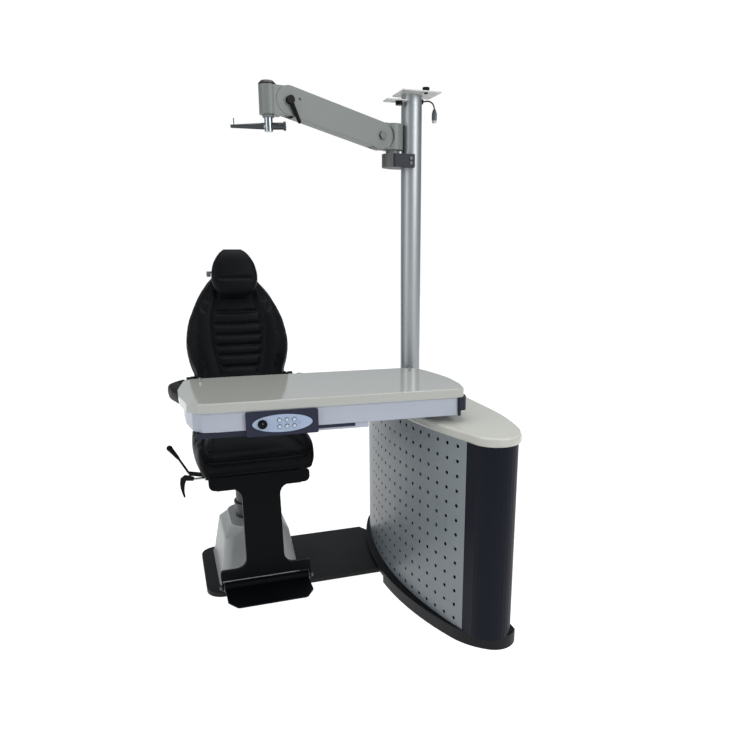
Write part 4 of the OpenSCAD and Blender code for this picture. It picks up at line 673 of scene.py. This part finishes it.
rounded_copy("phoropter_holder", "phoropter_spindle_and_bar", hair_edge, "chrome", gunmetal,
             bright_chrome, second=lambda p: (p.xy - holder_axis).length < holder_radius)

# Projector plates and their knobs
# Two thin cream-painted steel plates screwed on at the top of the pole. A black moulded knob
# locks each of them.
cream = finish("cream_plate", rgb(205, 206, 200), 0.34, mottle=0.03)
dress("projector_plates", cream)
rounded_copy("knob_top", "upper_plate_knob", fine_edge, "black_plastic", grip_black)
rounded_copy("knob_under", "lower_plate_knob", fine_edge, "black_plastic", grip_black)

# Table
# A pressed, gloss-painted top with a full round rim on a welded body. The hub under it turns on
# the pole. Chrome pins stand at two corners and a navy bumper wraps the right end. The pan below
# is lavender grey; from its left end to behind the control box it takes the strip's navy as
# painted shade, for the shadow under the table there.
table_gloss = finish("gloss_warm_grey", rgb(188, 189, 181), 0.09, mottle=0.015, mottle_scale=3.0,
                     grain_scale=120, grain=0.000008, coat=0.6)
body_paint = finish("lavender_grey_paint", rgb(188, 193, 204), 0.3, mottle=0.03,
                    grain_scale=700, grain=0.00002)
tray_navy_and_pan_shade = finish("tray_navy_and_pan_shade", rgb(30, 33, 52), 0.42, specular=0.3, grain_scale=500,
                   grain=0.00003)
top_edge, body_edge, rim_band, hub_opening = 0.011, 0.004, 0.003, 0.06
top_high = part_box("table_top")[1][2]
rounded_copy("table_top", "pressed_table_top", top_edge, "table_white", table_gloss, segments=6,
             edges=lambda e: all(v.co.z > top_high - rim_band for v in e.verts)
             and (e.verts[0].co.xy - pole_axis).length > hub_opening)
dress("table_pins", bright_chrome)
rounded_copy("table_body", "welded_table_body", body_edge, "body_blue_grey", body_paint)
dress("table_hub", charcoal)
rounded_copy("end_bumper", "navy_end_bumper", shell_edge, "navy_paint", tray_navy_and_pan_shade)
box_low, box_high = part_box("control_box")
# Painted shade: left of the control box's middle the pan takes the navy, for the shadow there.
rounded_copy("under_tray", "pressed_under_pan", fine_edge, "body_blue_grey", body_paint,
             tray_navy_and_pan_shade, seam=(box_low[0] + box_high[0]) / 2)
dress("tray_strip", tray_navy_and_pan_shade)

# Control panel
# A moulded navy box with rounded corners under the front rim. Its oval fascia carries a black dial
# with a silver inlay in its grip, and six round keys, all without lettering. The inlay is a light,
# nearly matt grey, so its shine is a painted reflection in the colour, not bright metal.
inlay_share, inlay_chamfer, inlay_rise = 0.62, 0.0008, 0.0006
key_edge, key_face_share = 0.0013, 0.8
panel_navy = finish("panel_navy", rgb(34, 37, 58), 0.38, specular=0.3, mottle=0.05,
                    grain_scale=900, grain=0.00003)
fascia_blue = finish("fascia_pale_blue", rgb(174, 190, 214), 0.34, mottle=0.02)
key_white = finish("key_pale_blue", rgb(206, 218, 236), 0.32, mottle=0.02)
rounded_copy("control_box", "navy_control_box", box_edge, "navy_paint", panel_navy, segments=4)
rounded_copy("control_face", "oval_fascia", hair_edge, "fascia", fascia_blue)
# Painted reflection: the silver inlay is a light, nearly matt grey that holds the shine of metal.
dial_silver_glint = finish("dial_silver_core_glint", rgb(196, 200, 206), 0.35, metallic=0.2)
shape = merged("control_knob")
shape.normal_update()
inlay = min(shape.faces, key=lambda f: f.calc_center_median().y)
grip_reach = max((v.co - inlay.calc_center_median()).length for v in inlay.verts)
bmesh.ops.inset_individual(shape, faces=[inlay], thickness=(1 - inlay_share) * grip_reach)
bmesh.ops.inset_individual(shape, faces=[inlay], thickness=inlay_chamfer)
bmesh.ops.translate(shape, verts=inlay.verts, vec=(0, -inlay_rise, 0))
silver_glint_faces = {inlay} | {face for edge in inlay.edges for face in edge.link_faces}
for face in shape.faces:
    face.material_index = 1 if face in silver_glint_faces else 0
even_shading(place_piece("dial_knob", smooth_faces(shape, "dial_knob"), "control_knob",
                         "black_plastic", grip_black, dial_silver_glint))
key_ring = finish("key_dark_ring", rgb(52, 56, 70), 0.4)
for number in range(1, 7):
    node = "button_%d" % number
    low, high = (Vector(corner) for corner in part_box(node))
    centre = (low + high) / 2
    face_radius = key_face_share * (high[2] - low[2]) / 2
    rounded_copy(node, "round_key_%d" % number, key_edge, "key_plastic", key_white, key_ring,
                 second=lambda p: math.hypot(p.x - centre.x, p.z - centre.z) > face_radius)

# Studio
# A seamless pale floor that keeps the unit's soft shadow, a white surround for the camera and
# for reflections, and three large soft lamps.
floor_size, floor_grey = 14.0, rgb(250, 250, 250)
floor_glow, floor_glow_share, room_strength, lamp_target = 1.38, 0.72, 0.5, (0.35, -0.25, 0.9)


def seen_by(nodes, links, first, second):
    """The output that is one where either of two kinds of ray meets a surface."""
    kinds = nodes.new("ShaderNodeLightPath")
    either = nodes.new("ShaderNodeMath")
    either.operation = "MAXIMUM"
    links.new(kinds.outputs[first], either.inputs[0])
    links.new(kinds.outputs[second], either.inputs[1])
    return either.outputs["Value"]


shape = bmesh.new()
bmesh.ops.create_grid(shape, x_segments=1, y_segments=1, size=floor_size)
floor_mesh = bpy.data.meshes.new("studio_floor")
shape.to_mesh(floor_mesh)
shape.free()
floor = bpy.data.objects.new("studio_floor", floor_mesh)
bpy.context.scene.collection.objects.link(floor)
floor_paint = bpy.data.materials.new("studio_floor")
floor_paint.use_nodes = True
nodes, links = floor_paint.node_tree.nodes, floor_paint.node_tree.links
matt = nodes["Principled BSDF"]
matt.inputs["Base Color"].default_value = floor_grey
matt.inputs["Roughness"].default_value = 1.0
matt.inputs["Specular IOR Level"].default_value = 0.0
glow = nodes.new("ShaderNodeEmission")
glow.inputs["Strength"].default_value = floor_glow
lifted = nodes.new("ShaderNodeMixShader")
part = nodes.new("ShaderNodeMath")
part.operation = "MULTIPLY"
part.inputs[1].default_value = floor_glow_share
links.new(seen_by(nodes, links, "Is Camera Ray", "Is Glossy Ray"), part.inputs[0])
links.new(part.outputs["Value"], lifted.inputs["Fac"])
links.new(matt.outputs["BSDF"], lifted.inputs[1])
links.new(glow.outputs["Emission"], lifted.inputs[2])
links.new(lifted.outputs["Shader"], nodes["Material Output"].inputs["Surface"])
floor_mesh.materials.append(floor_paint)

surround = bpy.data.worlds.new("studio_surround")
surround.use_nodes = True
nodes, links = surround.node_tree.nodes, surround.node_tree.links
room = nodes["Background"]
room.inputs["Color"].default_value = rgb(214, 220, 228)
room.inputs["Strength"].default_value = room_strength
white = nodes.new("ShaderNodeBackground")
white.inputs["Color"].default_value = (1, 1, 1, 1)
white.inputs["Strength"].default_value = 1.0
choose = nodes.new("ShaderNodeMixShader")
links.new(seen_by(nodes, links, "Is Camera Ray", "Is Transmission Ray"), choose.inputs["Fac"])
links.new(room.outputs["Background"], choose.inputs[1])
links.new(white.outputs["Background"], choose.inputs[2])
links.new(choose.outputs["Shader"], nodes["World Output"].inputs["Surface"])
bpy.context.scene.world = surround
bpy.context.scene.view_settings.view_transform = "Standard"


for lamp_name, place, size, power in [("front_right_lamp", (1.9, -3.0, 2.4), 1.8, 40),
                                      ("top_lamp", (0.4, -0.3, 3.4), 2.2, 42),
                                      ("left_lamp", (-2.6, -1.4, 1.9), 1.6, 17)]:
    lamp_data = bpy.data.lights.new(lamp_name, "AREA")
    lamp_data.size = size
    lamp_data.energy = power
    lamp = bpy.data.objects.new(lamp_name, lamp_data)
    lamp.location = place
    gaze = Vector(lamp_target) - Vector(place)
    lamp.rotation_euler = gaze.to_track_quat("-Z", "Y").to_euler()
    bpy.context.scene.collection.objects.link(lamp)
